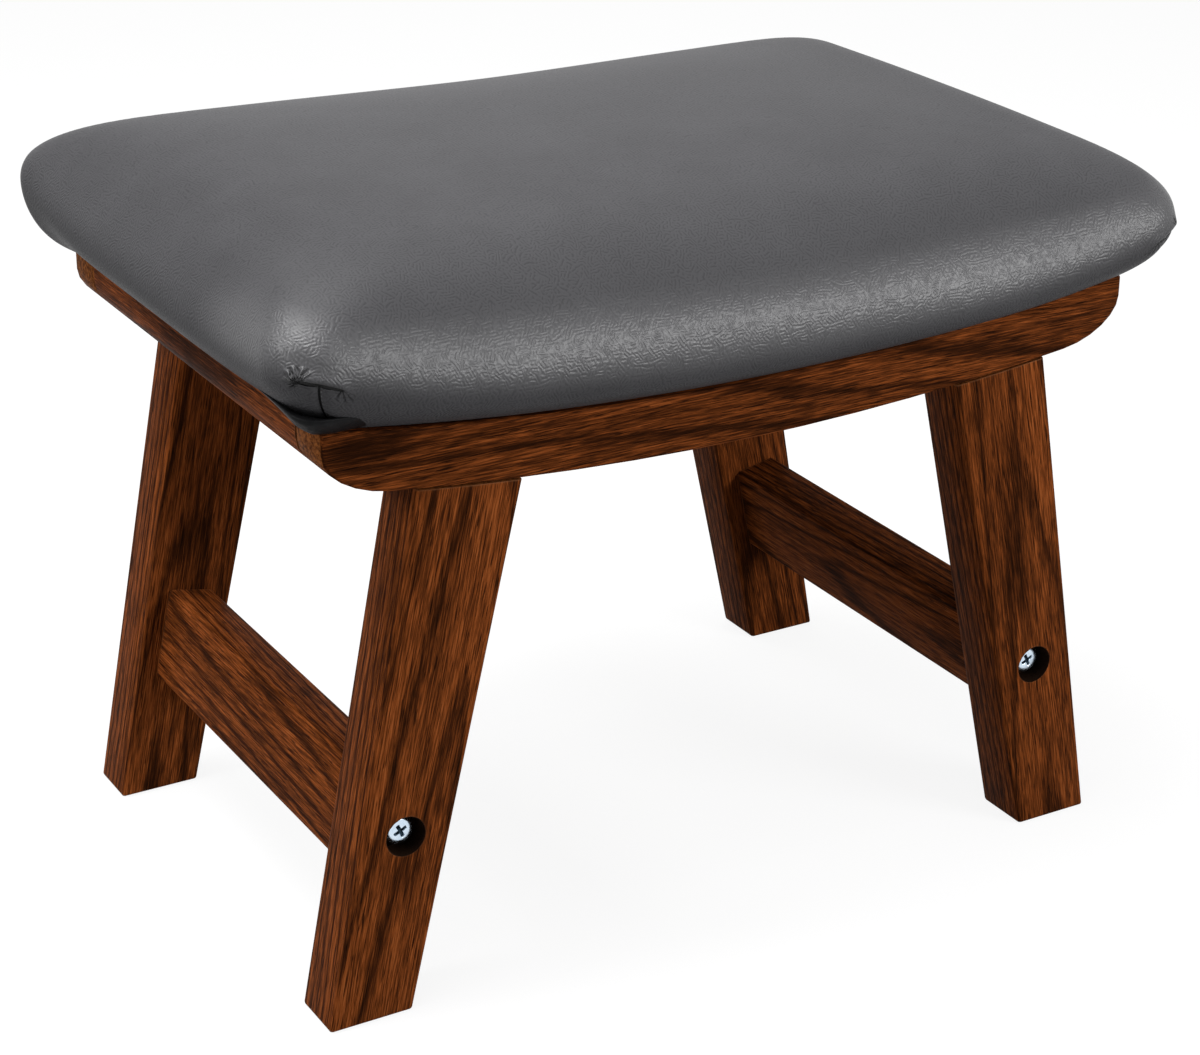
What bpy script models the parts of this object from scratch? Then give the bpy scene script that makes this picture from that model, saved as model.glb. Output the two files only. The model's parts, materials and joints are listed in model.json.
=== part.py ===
"""Upholstered footstool: a padded saddle seat on a wooden frame with four splayed legs.

Units are metres and +Z is up. X runs along the seat, the front faces -Y, and the origin is on
the floor under the middle of the stool.
"""

import math

import bmesh
import bpy
from mathutils import Vector

# Clearance left between pieces that touch
GAP = 0.0003

# Seat frame: two long rails with a saddle curve, joined by two end rails
FRAME_DEPTH = 0.237
RAIL_TOP = 0.2325  # top edge of the long rails at mid length, above the floor
RAIL_LENGTH = 0.357
RAIL_HEIGHT = 0.024
RAIL_THICKNESS = 0.021
END_RAIL_THICKNESS = 0.022
SADDLE_RADIUS = 1.22
RAIL_CORNER_LENGTH = 0.027
RAIL_CORNER_HEIGHT = 0.015

# Legs, wider at the head than at the foot, leaning outwards along X only
LEG_THICKNESS = 0.025
LEG_FOOT_WIDTH = 0.035
LEG_HEAD_WIDTH = 0.044
LEG_LEAN = math.radians(10.67)
LEG_SETBACK = 0.0355  # rail end to the leg's outer edge, at the head

# Stretchers, one between the two legs of each side, tilted with them
STRETCHER_THICKNESS = 0.020
STRETCHER_HEIGHT = 0.040
STRETCHER_LEVEL = 0.073  # middle of the stretcher above the floor

# Stretcher bolts and their threaded inserts
BOLT_DIAMETER = 0.006
BOLT_HEAD_DIAMETER = 0.0125
BOLT_HEAD_HEIGHT = 0.004
BOLT_RIM_EASE = 0.0006
BOLT_RISE = 0.004  # bolt axis above the stretcher's middle
BOLT_REACH = 0.003  # bolt tip past the insert
BOLT_HOLE_CLEARANCE = 0.0005
COUNTERBORE_CLEARANCE = 0.0019
COUNTERBORE_DEPTH = 0.009
RECESS_SPAN = 0.0064
RECESS_WIDTH = 0.0019
RECESS_DEPTH = 0.0022
INSERT_DIAMETER = 0.009
INSERT_LENGTH = 0.013

# Dowels
LEG_DOWEL_DIAMETER = 0.008
LEG_DOWEL_SPACING = 0.018
LEG_DOWEL_IN_LEG = 0.018
LEG_DOWEL_IN_RAIL = 0.013
STRETCHER_DOWEL_DIAMETER = 0.006
STRETCHER_DOWEL_MARGIN = 0.0065  # dowel axis to the stretcher's edge
STRETCHER_DOWEL_IN_LEG = 0.012
STRETCHER_DOWEL_IN_STRETCHER = 0.014
END_DOWEL_DIAMETER = 0.008
END_DOWEL_DROP = 0.0095  # dowel axis under the rails' top edge
END_DOWEL_IN_RAIL = 0.012
END_DOWEL_IN_END_RAIL = 0.014

# Corner blocks inside the frame, and the screws through them
BLOCK_LENGTH = 0.027
BLOCK_RISE = 0.005  # block's underside above the rails' underside
SCREW_DIAMETER = 0.004
SCREW_HEAD_DIAMETER = 0.008
SCREW_HEAD_HEIGHT = 0.0026
SCREW_RIM = 0.0005  # straight rim on top of the countersunk head
SCREW_TIP_LENGTH = 0.004
SCREW_BITE = 0.013  # side screws into the rails
SCREW_STAGGER = 0.007  # height between a block's two side screws
RAIL_SCREW_INSET = 0.008
END_SCREW_INSET = 0.0055
SEAT_SCREW_INSET = 0.009
SEAT_SCREW_COVER = 0.002  # plywood left over a seat screw's tip

# Seat: bent plywood, foam, cover and dust cover
BOARD_THICKNESS = 0.010
BOARD_SETBACK = 0.003  # board edge inside the frame's outer faces
BOARD_CORNER = 0.012
COVER_THICKNESS = 0.0012
COVER_TURN_IN = 0.006  # turned cover edge past the rails' inner faces
COVER_TURN_CORNER = 0.006
DUST_COVER_THICKNESS = 0.0006
DUST_COVER_CLEARANCE = 0.002  # dust cover edge to the rails' inner faces

# Cushion: the widest line is the girth, the round above it the shoulder
SIDE_OVERHANG = 0.0205
END_OVERHANG = 0.0215
CUSHION_CORNER = 0.024
GIRTH_RISE = 0.030  # girth above the rails' top edge
SHOULDER_WIDTH = 0.044
SHOULDER_RISE = 0.026
SHOULDER_DROP = 0.010  # how much lower the shoulder is at the ends
CROWN_RISE = 0.0185

# Eased edges and smoothness of the shapes
EDGE_EASE = 0.0012
EASE_STEPS = 2
SADDLE_STEPS = 12
CORNER_STEPS = 6
HEAD_STEPS = 4
HEAD_ROUNDS = 4  # repeats that settle where a leg's edge meets the rail
BOLT_STEPS = 20
INSERT_STEPS = 12
DOWEL_STEPS = 10
SCREW_STEPS = 8
OUTLINE_CORNER_STEPS = 4
OUTLINE_SIDE_STEPS = 10
OUTLINE_END_STEPS = 4
TUCK_ANGLES = (30, 60, 90)  # degrees round the cushion's underside, up to the girth
SHOULDER_SHARES = (0.1, 0.35, 0.68, 1.0)
CROWN_SHARES = (0.62, 0.28)
PLATE_SHARES = (0.6, 0.25)
SHARP_ANGLE = math.radians(32)

# Heights above the rails' top edge, at any point along the saddle
BOARD_LEVEL = COVER_THICKNESS + 2 * GAP
BLOCK_LEVEL = -DUST_COVER_THICKNESS - GAP

# Places that several pieces share
FACE = FRAME_DEPTH / 2
RAIL_END = RAIL_LENGTH / 2
RAIL_INNER = FACE - RAIL_THICKNESS
END_RAIL_INNER = RAIL_END - END_RAIL_THICKNESS
LEG_INNER = FACE - LEG_THICKNESS
HEAD_LEVEL = RAIL_TOP - RAIL_HEIGHT
BOARD_HALF_LENGTH = RAIL_END - BOARD_SETBACK
BOARD_HALF_DEPTH = FACE - BOARD_SETBACK

SIDES = {"left": -1, "right": 1}
ROWS = {"front": -1, "back": 1}

for old in list(bpy.data.objects):
    bpy.data.objects.remove(old)

STOOL = bpy.data.objects.new("footstool", None)
bpy.context.scene.collection.objects.link(STOOL)


def finish(name, colour, roughness, metallic=0.0):
    """A plain surface finish."""
    made = bpy.data.materials.new(name)
    made.use_nodes = True
    shader = made.node_tree.nodes["Principled BSDF"]
    shader.inputs["Base Color"].default_value = (*colour, 1.0)
    shader.inputs["Roughness"].default_value = roughness
    shader.inputs["Metallic"].default_value = metallic
    return made


LEATHER = finish("charcoal_leather", (0.105, 0.107, 0.112), 0.42)
WALNUT = finish("walnut_stained_wood", (0.085, 0.030, 0.014), 0.38)
PLAIN_WOOD = finish("plain_wood", (0.52, 0.36, 0.20), 0.65)
PLYWOOD = finish("plywood", (0.46, 0.31, 0.17), 0.7)
FOAM = finish("foam", (0.74, 0.66, 0.42), 0.95)
FELT = finish("black_fabric", (0.018, 0.018, 0.020), 0.95)
ZINC = finish("zinc_plated_steel", (0.62, 0.66, 0.70), 0.28, 1.0)


def new_piece(name, shape, material):
    """Closes off a bmesh as a named, smooth shaded piece of the stool."""
    bmesh.ops.recalc_face_normals(shape, faces=shape.faces)
    mesh = bpy.data.meshes.new(name)
    shape.to_mesh(mesh)
    shape.free()
    mesh.shade_smooth()
    mesh.set_sharp_from_angle(angle=SHARP_ANGLE)
    mesh.materials.append(material)
    piece = bpy.data.objects.new(name, mesh)
    piece.parent = STOOL
    bpy.context.scene.collection.objects.link(piece)
    return piece


def cut(cutter, *pieces):
    """Cuts a hole into each piece, and puts the cutter out of sight."""
    cutter.hide_render = True
    cutter.display_type = "WIRE"
    for piece in pieces:
        hole = piece.modifiers.new(cutter.name, "BOOLEAN")
        hole.operation = "DIFFERENCE"
        hole.solver = "EXACT"
        hole.object = cutter


def spaced(first, last, steps):
    """Evenly spaced values from first to last, both included."""
    return [first + (last - first) * step / steps for step in range(steps + 1)]


def seat_height(x, level=0.0):
    """Height above the floor of a point on the saddle curve, level above the rails' top edge."""
    return RAIL_TOP + SADDLE_RADIUS - math.sqrt(SADDLE_RADIUS**2 - x**2) + level


def rail_underside(x):
    """Height of the rails' lower edge, which rounds up to their ends."""
    share = (abs(x) - RAIL_END + RAIL_CORNER_LENGTH) / RAIL_CORNER_LENGTH
    share = min(max(share, 0.0), 1.0)
    return seat_height(x, -RAIL_HEIGHT) + RAIL_CORNER_HEIGHT * (1 - math.sqrt(1 - share**2))


def corner_stations():
    """Places along the rail's lower corner, from its start to the rail's end."""
    angles = spaced(0, math.pi / 2, CORNER_STEPS)
    return [RAIL_END - RAIL_CORNER_LENGTH * (1 - math.sin(angle)) for angle in angles]


def prism(outline, y_from, y_to):
    """A bmesh with an outline in XZ, extruded along Y."""
    shape = bmesh.new()
    face = shape.faces.new([shape.verts.new((x, y_from, z)) for x, z in outline])
    grown = bmesh.ops.extrude_face_region(shape, geom=[face])
    moved = [item for item in grown["geom"] if isinstance(item, bmesh.types.BMVert)]
    bmesh.ops.translate(shape, verts=moved, vec=(0, y_to - y_from, 0))
    bmesh.ops.recalc_face_normals(shape, faces=shape.faces)
    return shape


def ease_edges(shape, wanted):
    """Rounds the sharp edges that the test picks."""
    edges = [
        edge
        for edge in shape.edges
        if edge.calc_face_angle() > SHARP_ANGLE and wanted(edge)
    ]
    bmesh.ops.bevel(
        shape, geom=edges, offset=EDGE_EASE, segments=EASE_STEPS, profile=0.5, affect="EDGES"
    )


def turned(name, profile, steps, material):
    """A round piece about Z, turned from points of radius and height that start and end on the axis."""
    shape = bmesh.new()
    points = [shape.verts.new((radius, 0, height)) for radius, height in profile]
    lines = [shape.edges.new(pair) for pair in zip(points, points[1:])]
    bmesh.ops.spin(
        shape,
        geom=points + lines,
        axis=(0, 0, 1),
        cent=(0, 0, 0),
        angle=2 * math.pi,
        steps=steps,
        use_merge=True,
    )
    bmesh.ops.remove_doubles(shape, verts=shape.verts, dist=GAP / 100)
    return new_piece(name, shape, material)


def point_along(piece, start, direction):
    """Places a turned piece with its base at start and its axis along direction."""
    piece.location = start
    piece.rotation_euler = Vector(direction).to_track_quat("Z", "Y").to_euler()


def round_bar(radius, bottom, top):
    """Profile of a plain round bar."""
    return [(0, bottom), (radius, bottom), (radius, top), (0, top)]


def dowel(name, diameter, start, end, pieces):
    """A glued dowel from start to end, with its hole in the pieces that it joins."""
    start, end = Vector(start), Vector(end)
    length = (end - start).length
    pin = turned(name, round_bar(diameter / 2, 0, length), DOWEL_STEPS, PLAIN_WOOD)
    hole = turned(
        name + "_hole", round_bar(diameter / 2 + GAP, -GAP, length + GAP), DOWEL_STEPS, PLAIN_WOOD
    )
    for item in (pin, hole):
        point_along(item, start, end - start)
    cut(hole, *pieces)


def screw_profile(length, clearance, outside):
    """Profile of a countersunk screw from its tip, grown by a clearance and run on past its head."""
    radius = SCREW_DIAMETER / 2 + clearance
    head = SCREW_HEAD_DIAMETER / 2 + clearance
    return [
        (0, -clearance),
        (radius, SCREW_TIP_LENGTH - clearance),
        (radius, length - SCREW_HEAD_HEIGHT),
        (head, length),
        (head, length + outside),
        (0, length + outside),
    ]


def wood_screw(name, tip, head, pieces):
    """A countersunk screw, its head just under the face at head, with its hole in the pieces."""
    tip, head = Vector(tip), Vector(head)
    length = (head - tip).length
    rim = length - SCREW_RIM - GAP
    made = turned(name, screw_profile(rim, 0, SCREW_RIM), SCREW_STEPS, ZINC)
    hole = turned(name + "_hole", screw_profile(rim, GAP, BLOCK_LENGTH), SCREW_STEPS, ZINC)
    for item in (made, hole):
        point_along(item, tip, head - tip)
    cut(hole, *pieces)


def long_rail(name, row):
    """A front or back rail: saddle curve on both long edges, lower corners rounded."""
    corner = corner_stations()
    straight = spaced(-corner[0], corner[0], SADDLE_STEPS)[1:-1]
    lower = [-x for x in reversed(corner)] + straight + corner
    upper = spaced(RAIL_END, -RAIL_END, SADDLE_STEPS)
    outline = [(x, rail_underside(x)) for x in lower] + [(x, seat_height(x)) for x in upper]
    shape = prism(outline, row * RAIL_INNER, row * FACE)
    ease_edges(shape, lambda edge: True)
    return new_piece(name, shape, WALNUT)


def end_rail(name, side):
    """A rail between the long rails, rounded underneath as their ends are."""
    lower = [END_RAIL_INNER] + [x for x in corner_stations() if x > END_RAIL_INNER]
    outline = [(side * x, rail_underside(x)) for x in lower]
    outline += [(side * x, seat_height(x)) for x in (RAIL_END, END_RAIL_INNER)]
    half_length = RAIL_INNER - GAP
    shape = prism(outline, -half_length, half_length)
    ease_edges(shape, lambda edge: edge.verts[0].co.y != edge.verts[1].co.y)
    return new_piece(name, shape, WALNUT)


def leg_edge(z, outer):
    """X of the right-hand legs' outer or inner edge at a height."""
    head = RAIL_END - LEG_SETBACK
    foot = head + HEAD_LEVEL * math.tan(LEG_LEAN)
    if not outer:
        head -= LEG_HEAD_WIDTH
        foot -= LEG_FOOT_WIDTH
    return foot + (head - foot) * z / HEAD_LEVEL


def leg_middle(z):
    """X of the right-hand legs' centre line at a height."""
    return (leg_edge(z, True) + leg_edge(z, False)) / 2


def leg_head(outer):
    """X where the leg's edge meets the underside of the rail."""
    z = HEAD_LEVEL
    for _ in range(HEAD_ROUNDS):
        z = rail_underside(leg_edge(z, outer)) - GAP
    return leg_edge(z, outer)


def leg(name, side, row):
    """A leg, its foot flat on the floor and its head cut to the rail's lower edge."""
    outline = [(leg_edge(0, False), 0), (leg_edge(0, True), 0)]
    for x in spaced(leg_head(True), leg_head(False), HEAD_STEPS):
        outline.append((x, rail_underside(x) - GAP))
    outline = [(side * x, z) for x, z in outline]
    shape = prism(outline, row * LEG_INNER, row * FACE)
    ease_edges(shape, lambda edge: min(vert.co.z for vert in edge.verts) < HEAD_LEVEL / 2)
    return new_piece(name, shape, WALNUT)


def stretcher(name, side):
    """A stretcher between the two legs of a side, lying square to their lean."""
    half_length = LEG_INNER - GAP
    width, height = STRETCHER_THICKNESS / 2, STRETCHER_HEIGHT / 2
    outline = [(-width, -height), (width, -height), (width, height), (-width, height)]
    shape = prism(outline, -half_length, half_length)
    ease_edges(shape, lambda edge: edge.verts[0].co.y != edge.verts[1].co.y)
    piece = new_piece(name, shape, WALNUT)
    piece.location = (side * leg_middle(STRETCHER_LEVEL), 0, STRETCHER_LEVEL)
    piece.rotation_euler = (0, -side * lean(), 0)
    return piece


def lean():
    """Angle of the legs' centre line from upright."""
    return math.atan((leg_middle(0) - leg_middle(HEAD_LEVEL)) / HEAD_LEVEL)


def cross_recess(name):
    """Cutter for a driver's cross in a bolt head, its open end at height 0."""
    arm, half = RECESS_SPAN / 2, RECESS_WIDTH / 2
    quarter = [(arm, -half), (arm, half), (half, half)]
    shape = bmesh.new()
    corners = []
    for turn in range(4):
        angle = turn * math.pi / 2
        for x, y in quarter:
            place = (
                x * math.cos(angle) - y * math.sin(angle),
                x * math.sin(angle) + y * math.cos(angle),
                -RECESS_DEPTH,
            )
            corners.append(shape.verts.new(place))
    grown = bmesh.ops.extrude_face_region(shape, geom=[shape.faces.new(corners)])
    moved = [item for item in grown["geom"] if isinstance(item, bmesh.types.BMVert)]
    bmesh.ops.translate(shape, verts=moved, vec=(0, 0, 2 * RECESS_DEPTH))
    return new_piece(name, shape, ZINC)


def up_stretcher(offset):
    """X and Z of a point on the right-hand stretcher's tilted middle line, offset up from its middle."""
    x = leg_middle(STRETCHER_LEVEL) - offset * math.sin(lean())
    return x, STRETCHER_LEVEL + offset * math.cos(lean())


def stretcher_bolt(corner, side, row, leg_piece, stretcher_piece):
    """A bolt through the leg into a threaded insert in the stretcher's end; heights run outwards."""
    x, z = up_stretcher(BOLT_RISE)
    place = (side * x, row * FACE, z)
    outwards = (0, row, 0)
    seat = GAP - COUNTERBORE_DEPTH
    insert_top = -LEG_THICKNESS - GAP
    insert_bottom = insert_top - INSERT_LENGTH
    tip = insert_bottom - BOLT_REACH
    shank, head = BOLT_DIAMETER / 2, BOLT_HEAD_DIAMETER / 2
    rim = seat + BOLT_HEAD_HEIGHT
    bolt = turned(
        corner + "_stretcher_bolt",
        [
            (0, tip),
            (shank, tip),
            (shank, seat),
            (head, seat),
            (head, rim - BOLT_RIM_EASE),
            (head - BOLT_RIM_EASE, rim),
            (0, rim),
        ],
        BOLT_STEPS,
        ZINC,
    )
    recess = cross_recess(corner + "_driver_recess")
    bore = shank + GAP
    insert = turned(
        corner + "_threaded_insert",
        round_bar(INSERT_DIAMETER / 2, insert_bottom, insert_top),
        INSERT_STEPS,
        ZINC,
    )
    thread = turned(
        corner + "_insert_bore",
        round_bar(bore, insert_bottom - INSERT_LENGTH, insert_top + INSERT_LENGTH),
        BOLT_STEPS,
        ZINC,
    )
    socket = INSERT_DIAMETER / 2 + GAP
    passage = shank + BOLT_HOLE_CLEARANCE
    counterbore = head + COUNTERBORE_CLEARANCE
    hole = turned(
        corner + "_bolt_hole",
        [
            (0, tip - GAP),
            (passage, tip - GAP),
            (passage, insert_bottom - GAP),
            (socket, insert_bottom - GAP),
            (socket, insert_top + GAP / 2),
            (passage, insert_top + GAP / 2),
            (passage, -COUNTERBORE_DEPTH),
            (counterbore, -COUNTERBORE_DEPTH),
            (counterbore, COUNTERBORE_DEPTH),
            (0, COUNTERBORE_DEPTH),
        ],
        BOLT_STEPS,
        ZINC,
    )
    for item in (bolt, insert, thread, hole):
        point_along(item, place, outwards)
    point_along(recess, (place[0], row * (FACE + rim), place[2]), outwards)
    cut(recess, bolt)
    cut(thread, insert)
    cut(hole, leg_piece, stretcher_piece)


def leg_dowels(corner, side, row, leg_piece, rail_piece):
    """Two upright dowels from the leg's head into the rail."""
    middle = (leg_head(True) + leg_head(False)) / 2
    y = row * (FACE - RAIL_THICKNESS / 2)
    for place, offset in (("inner", -1), ("outer", 1)):
        x = middle + offset * LEG_DOWEL_SPACING / 2
        seam = rail_underside(x)
        dowel(
            f"{corner}_leg_{place}_dowel",
            LEG_DOWEL_DIAMETER,
            (side * x, y, seam - LEG_DOWEL_IN_LEG),
            (side * x, y, seam + LEG_DOWEL_IN_RAIL),
            (leg_piece, rail_piece),
        )


def stretcher_dowels(corner, side, row, leg_piece, stretcher_piece):
    """Two dowels, above and below the bolt, that keep the stretcher from turning."""
    reach = STRETCHER_HEIGHT / 2 - STRETCHER_DOWEL_MARGIN
    for place, offset in (("lower", -reach), ("upper", reach)):
        x, z = up_stretcher(offset)
        dowel(
            f"{corner}_stretcher_{place}_dowel",
            STRETCHER_DOWEL_DIAMETER,
            (side * x, row * (LEG_INNER - STRETCHER_DOWEL_IN_STRETCHER), z),
            (side * x, row * (LEG_INNER + STRETCHER_DOWEL_IN_LEG), z),
            (leg_piece, stretcher_piece),
        )


def end_rail_dowel(corner, side, row, end_rail_piece, rail_piece):
    """A dowel from the end rail into the long rail."""
    x = RAIL_END - END_RAIL_THICKNESS / 2
    z = seat_height(x, -END_DOWEL_DROP)
    dowel(
        corner + "_end_rail_dowel",
        END_DOWEL_DIAMETER,
        (side * x, row * (RAIL_INNER - END_DOWEL_IN_END_RAIL), z),
        (side * x, row * (RAIL_INNER + END_DOWEL_IN_RAIL), z),
        (end_rail_piece, rail_piece),
    )


def corner_block(corner, side, row, rail_piece, end_rail_piece, seat_pieces):
    """A block in the corner of the frame, screwed to both rails, with a screw up into the seat."""
    outer_x = END_RAIL_INNER - GAP
    inner_x = outer_x - BLOCK_LENGTH
    outer_y = RAIL_INNER - GAP
    inner_y = outer_y - BLOCK_LENGTH
    bottom = seat_height(inner_x, BLOCK_RISE - RAIL_HEIGHT)
    outline = [
        (side * inner_x, bottom),
        (side * outer_x, bottom),
        (side * outer_x, seat_height(outer_x, BLOCK_LEVEL)),
        (side * inner_x, seat_height(inner_x, BLOCK_LEVEL)),
    ]
    block = new_piece(
        corner + "_corner_block", prism(outline, row * inner_y, row * outer_y), PLAIN_WOOD
    )
    middle = (bottom + seat_height(inner_x, BLOCK_LEVEL)) / 2
    rail_screw_x = side * (outer_x - RAIL_SCREW_INSET)
    rail_screw_z = middle + SCREW_STAGGER / 2
    wood_screw(
        corner + "_rail_screw",
        (rail_screw_x, row * (RAIL_INNER + SCREW_BITE), rail_screw_z),
        (rail_screw_x, row * inner_y, rail_screw_z),
        (block, rail_piece),
    )
    end_screw_y = row * (inner_y + END_SCREW_INSET)
    end_screw_z = middle - SCREW_STAGGER / 2
    wood_screw(
        corner + "_end_rail_screw",
        (side * (END_RAIL_INNER + SCREW_BITE), end_screw_y, end_screw_z),
        (side * inner_x, end_screw_y, end_screw_z),
        (block, end_rail_piece),
    )
    seat_screw_x = inner_x + SEAT_SCREW_INSET
    seat_screw_y = row * (outer_y - SEAT_SCREW_INSET)
    tip = seat_height(seat_screw_x, BOARD_LEVEL + BOARD_THICKNESS - SEAT_SCREW_COVER)
    wood_screw(
        corner + "_seat_screw",
        (side * seat_screw_x, seat_screw_y, tip),
        (side * seat_screw_x, seat_screw_y, bottom),
        (block, *seat_pieces),
    )


def round_outline(half_length, half_depth, radius):
    """Plan of a rectangle with round corners, always with the same number of points."""
    flat_x, flat_y = half_length - radius, half_depth - radius
    points = []
    for quarter, (sign_x, sign_y) in enumerate(((1, 1), (-1, 1), (-1, -1), (1, -1))):
        for step in range(OUTLINE_CORNER_STEPS + 1):
            angle = (quarter + step / OUTLINE_CORNER_STEPS) * math.pi / 2
            x = sign_x * flat_x + radius * math.cos(angle)
            y = sign_y * flat_y + radius * math.sin(angle)
            points.append((x, y))
        along_side = quarter % 2 == 0
        steps = OUTLINE_SIDE_STEPS if along_side else OUTLINE_END_STEPS
        for share in spaced(1, -1, steps)[1:-1]:
            if along_side:
                points.append((sign_x * share * flat_x, sign_y * half_depth))
            else:
                points.append((sign_x * half_length, sign_y * share * flat_y))
    return points


def mixed(first, second, share):
    """An outline part of the way from one outline to another."""
    return [
        (ax + (bx - ax) * share, ay + (by - ay) * share)
        for (ax, ay), (bx, by) in zip(first, second)
    ]


def scaled(outline, share):
    """An outline drawn in towards its middle."""
    return [(x * share, y * share) for x, y in outline]


def on_saddle(outline, level):
    """The outline's points in space, at one level over the saddle curve."""
    return [(x, y, seat_height(x, level)) for x, y in outline]


def loft(name, rings, first_middle, last_middle, material):
    """A closed skin over a run of rings, its two ends closed to a middle point."""
    shape = bmesh.new()
    loops = [[shape.verts.new(point) for point in ring] for ring in rings]
    for low, high in zip(loops, loops[1:]):
        widens = high[0].co.xy.length > low[0].co.xy.length
        inner, outer = (low, high) if widens else (high, low)
        for i, corner in enumerate(inner):
            after = (i + 1) % len(inner)
            shape.faces.new((corner, inner[after], outer[after]))
            shape.faces.new((corner, outer[after], outer[i]))
    for loop, middle in ((loops[0], first_middle), (loops[-1], last_middle)):
        point = shape.verts.new(middle)
        for i, corner in enumerate(loop):
            shape.faces.new((corner, loop[(i + 1) % len(loop)], point))
    return new_piece(name, shape, material)


def saddle_plate(name, outline, bottom, top, material):
    """A sheet of even thickness, bent along the saddle curve."""
    shares = (*reversed(PLATE_SHARES), 1.0)
    rings = [on_saddle(scaled(outline, share), bottom) for share in shares]
    rings += [on_saddle(scaled(outline, share), top) for share in reversed(shares)]
    ends = ((0, 0, seat_height(0, bottom)), (0, 0, seat_height(0, top)))
    return loft(name, rings, *ends, material)


def cushion_top(x, y, round_up, skin):
    """Point on the cushion's top, with round_up the share of the shoulder's height."""
    half_length = RAIL_END + END_OVERHANG
    half_depth = FACE + SIDE_OVERHANG
    shoulder = SHOULDER_RISE - SHOULDER_DROP * (x / half_length) ** 2 - skin
    crown = CROWN_RISE * (1 - (x / half_length) ** 2) * (1 - (y / half_depth) ** 2)
    return (x, y, seat_height(x, GIRTH_RISE + shoulder * round_up + crown))


def cushion_rings(skin):
    """Rings of the cushion from under its edge to its crown, drawn in by a thickness of skin."""
    half_length = RAIL_END + END_OVERHANG - skin
    half_depth = FACE + SIDE_OVERHANG - skin
    radius = CUSHION_CORNER - skin
    tuck = round_outline(BOARD_HALF_LENGTH, BOARD_HALF_DEPTH, BOARD_CORNER)
    girth = round_outline(half_length, half_depth, radius)
    depth = GIRTH_RISE - GAP - skin
    rings = []
    for degrees in TUCK_ANGLES:
        angle = math.radians(degrees)
        outline = mixed(tuck, girth, math.sin(angle))
        rings.append(on_saddle(outline, GIRTH_RISE - depth * math.cos(angle)))
    for share in SHOULDER_SHARES:
        inset = share * SHOULDER_WIDTH
        top = round_outline(half_length - inset, half_depth - inset, radius)
        round_up = math.sqrt(1 - (1 - share) ** 2)
        rings.append([cushion_top(x, y, round_up, skin) for x, y in top])
    for share in CROWN_SHARES:
        rings.append([cushion_top(x, y, 1, skin) for x, y in scaled(top, share)])
    return rings


def seat_cover():
    """The leather cover, open underneath, with its edge turned in under the seat board."""
    turned_edge = round_outline(
        END_RAIL_INNER - COVER_TURN_IN, RAIL_INNER - COVER_TURN_IN, COVER_TURN_CORNER
    )
    tuck = round_outline(BOARD_HALF_LENGTH, BOARD_HALF_DEPTH, BOARD_CORNER)
    skins = {}
    for skin in (0.0, COVER_THICKNESS):
        under = [on_saddle(outline, GAP + skin) for outline in (turned_edge, tuck)]
        skins[skin] = under + cushion_rings(skin)
    rings = skins[COVER_THICKNESS][::-1] + skins[0.0]
    inside = cushion_top(0, 0, 1, COVER_THICKNESS)
    return loft("seat_cover", rings, inside, cushion_top(0, 0, 1, 0.0), LEATHER)


def foam_pad():
    """The foam, filling the cover and going down round the edge of the seat board."""
    skin = COVER_THICKNESS + GAP
    pocket = round_outline(BOARD_HALF_LENGTH + GAP, BOARD_HALF_DEPTH + GAP, BOARD_CORNER + GAP)
    ceiling = BOARD_LEVEL + BOARD_THICKNESS + GAP
    rings = [on_saddle(scaled(pocket, share), ceiling) for share in reversed(PLATE_SHARES)]
    rings += [on_saddle(pocket, ceiling), on_saddle(pocket, BOARD_LEVEL)]
    rings += cushion_rings(skin)
    ends = ((0, 0, seat_height(0, ceiling)), cushion_top(0, 0, 1, skin))
    return loft("foam_pad", rings, *ends, FOAM)


def seat_board():
    """Bent plywood under the foam."""
    outline = round_outline(BOARD_HALF_LENGTH, BOARD_HALF_DEPTH, BOARD_CORNER)
    return saddle_plate("seat_board", outline, BOARD_LEVEL, BOARD_LEVEL + BOARD_THICKNESS, PLYWOOD)


def dust_cover():
    """Black cloth over the turned edges of the cover, inside the frame."""
    outline = round_outline(
        END_RAIL_INNER - DUST_COVER_CLEARANCE, RAIL_INNER - DUST_COVER_CLEARANCE, COVER_TURN_CORNER
    )
    return saddle_plate("dust_cover", outline, -DUST_COVER_THICKNESS, 0.0, FELT)


def footstool():
    """Every piece of the stool, from the seat down."""
    seat_cover()
    foam_pad()
    seat_pieces = (seat_board(), dust_cover())
    rails = {row: long_rail(row + "_rail", y) for row, y in ROWS.items()}
    for side, x in SIDES.items():
        end_piece = end_rail(side + "_end_rail", x)
        stretcher_piece = stretcher(side + "_stretcher", x)
        for row, y in ROWS.items():
            corner = f"{row}_{side}"
            leg_piece = leg(corner + "_leg", x, y)
            leg_dowels(corner, x, y, leg_piece, rails[row])
            stretcher_bolt(corner, x, y, leg_piece, stretcher_piece)
            stretcher_dowels(corner, x, y, leg_piece, stretcher_piece)
            end_rail_dowel(corner, x, y, end_piece, rails[row])
            corner_block(corner, x, y, rails[row], end_piece, seat_pieces)


footstool()
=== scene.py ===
"""Looks of the upholstered footstool: a padded saddle seat on a stained walnut frame.

Units are metres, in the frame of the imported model: X along the seat, the front faces -Y.
"""

import json
import math

import bmesh
import bpy
import numpy as np
from mathutils import Matrix, Vector


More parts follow.
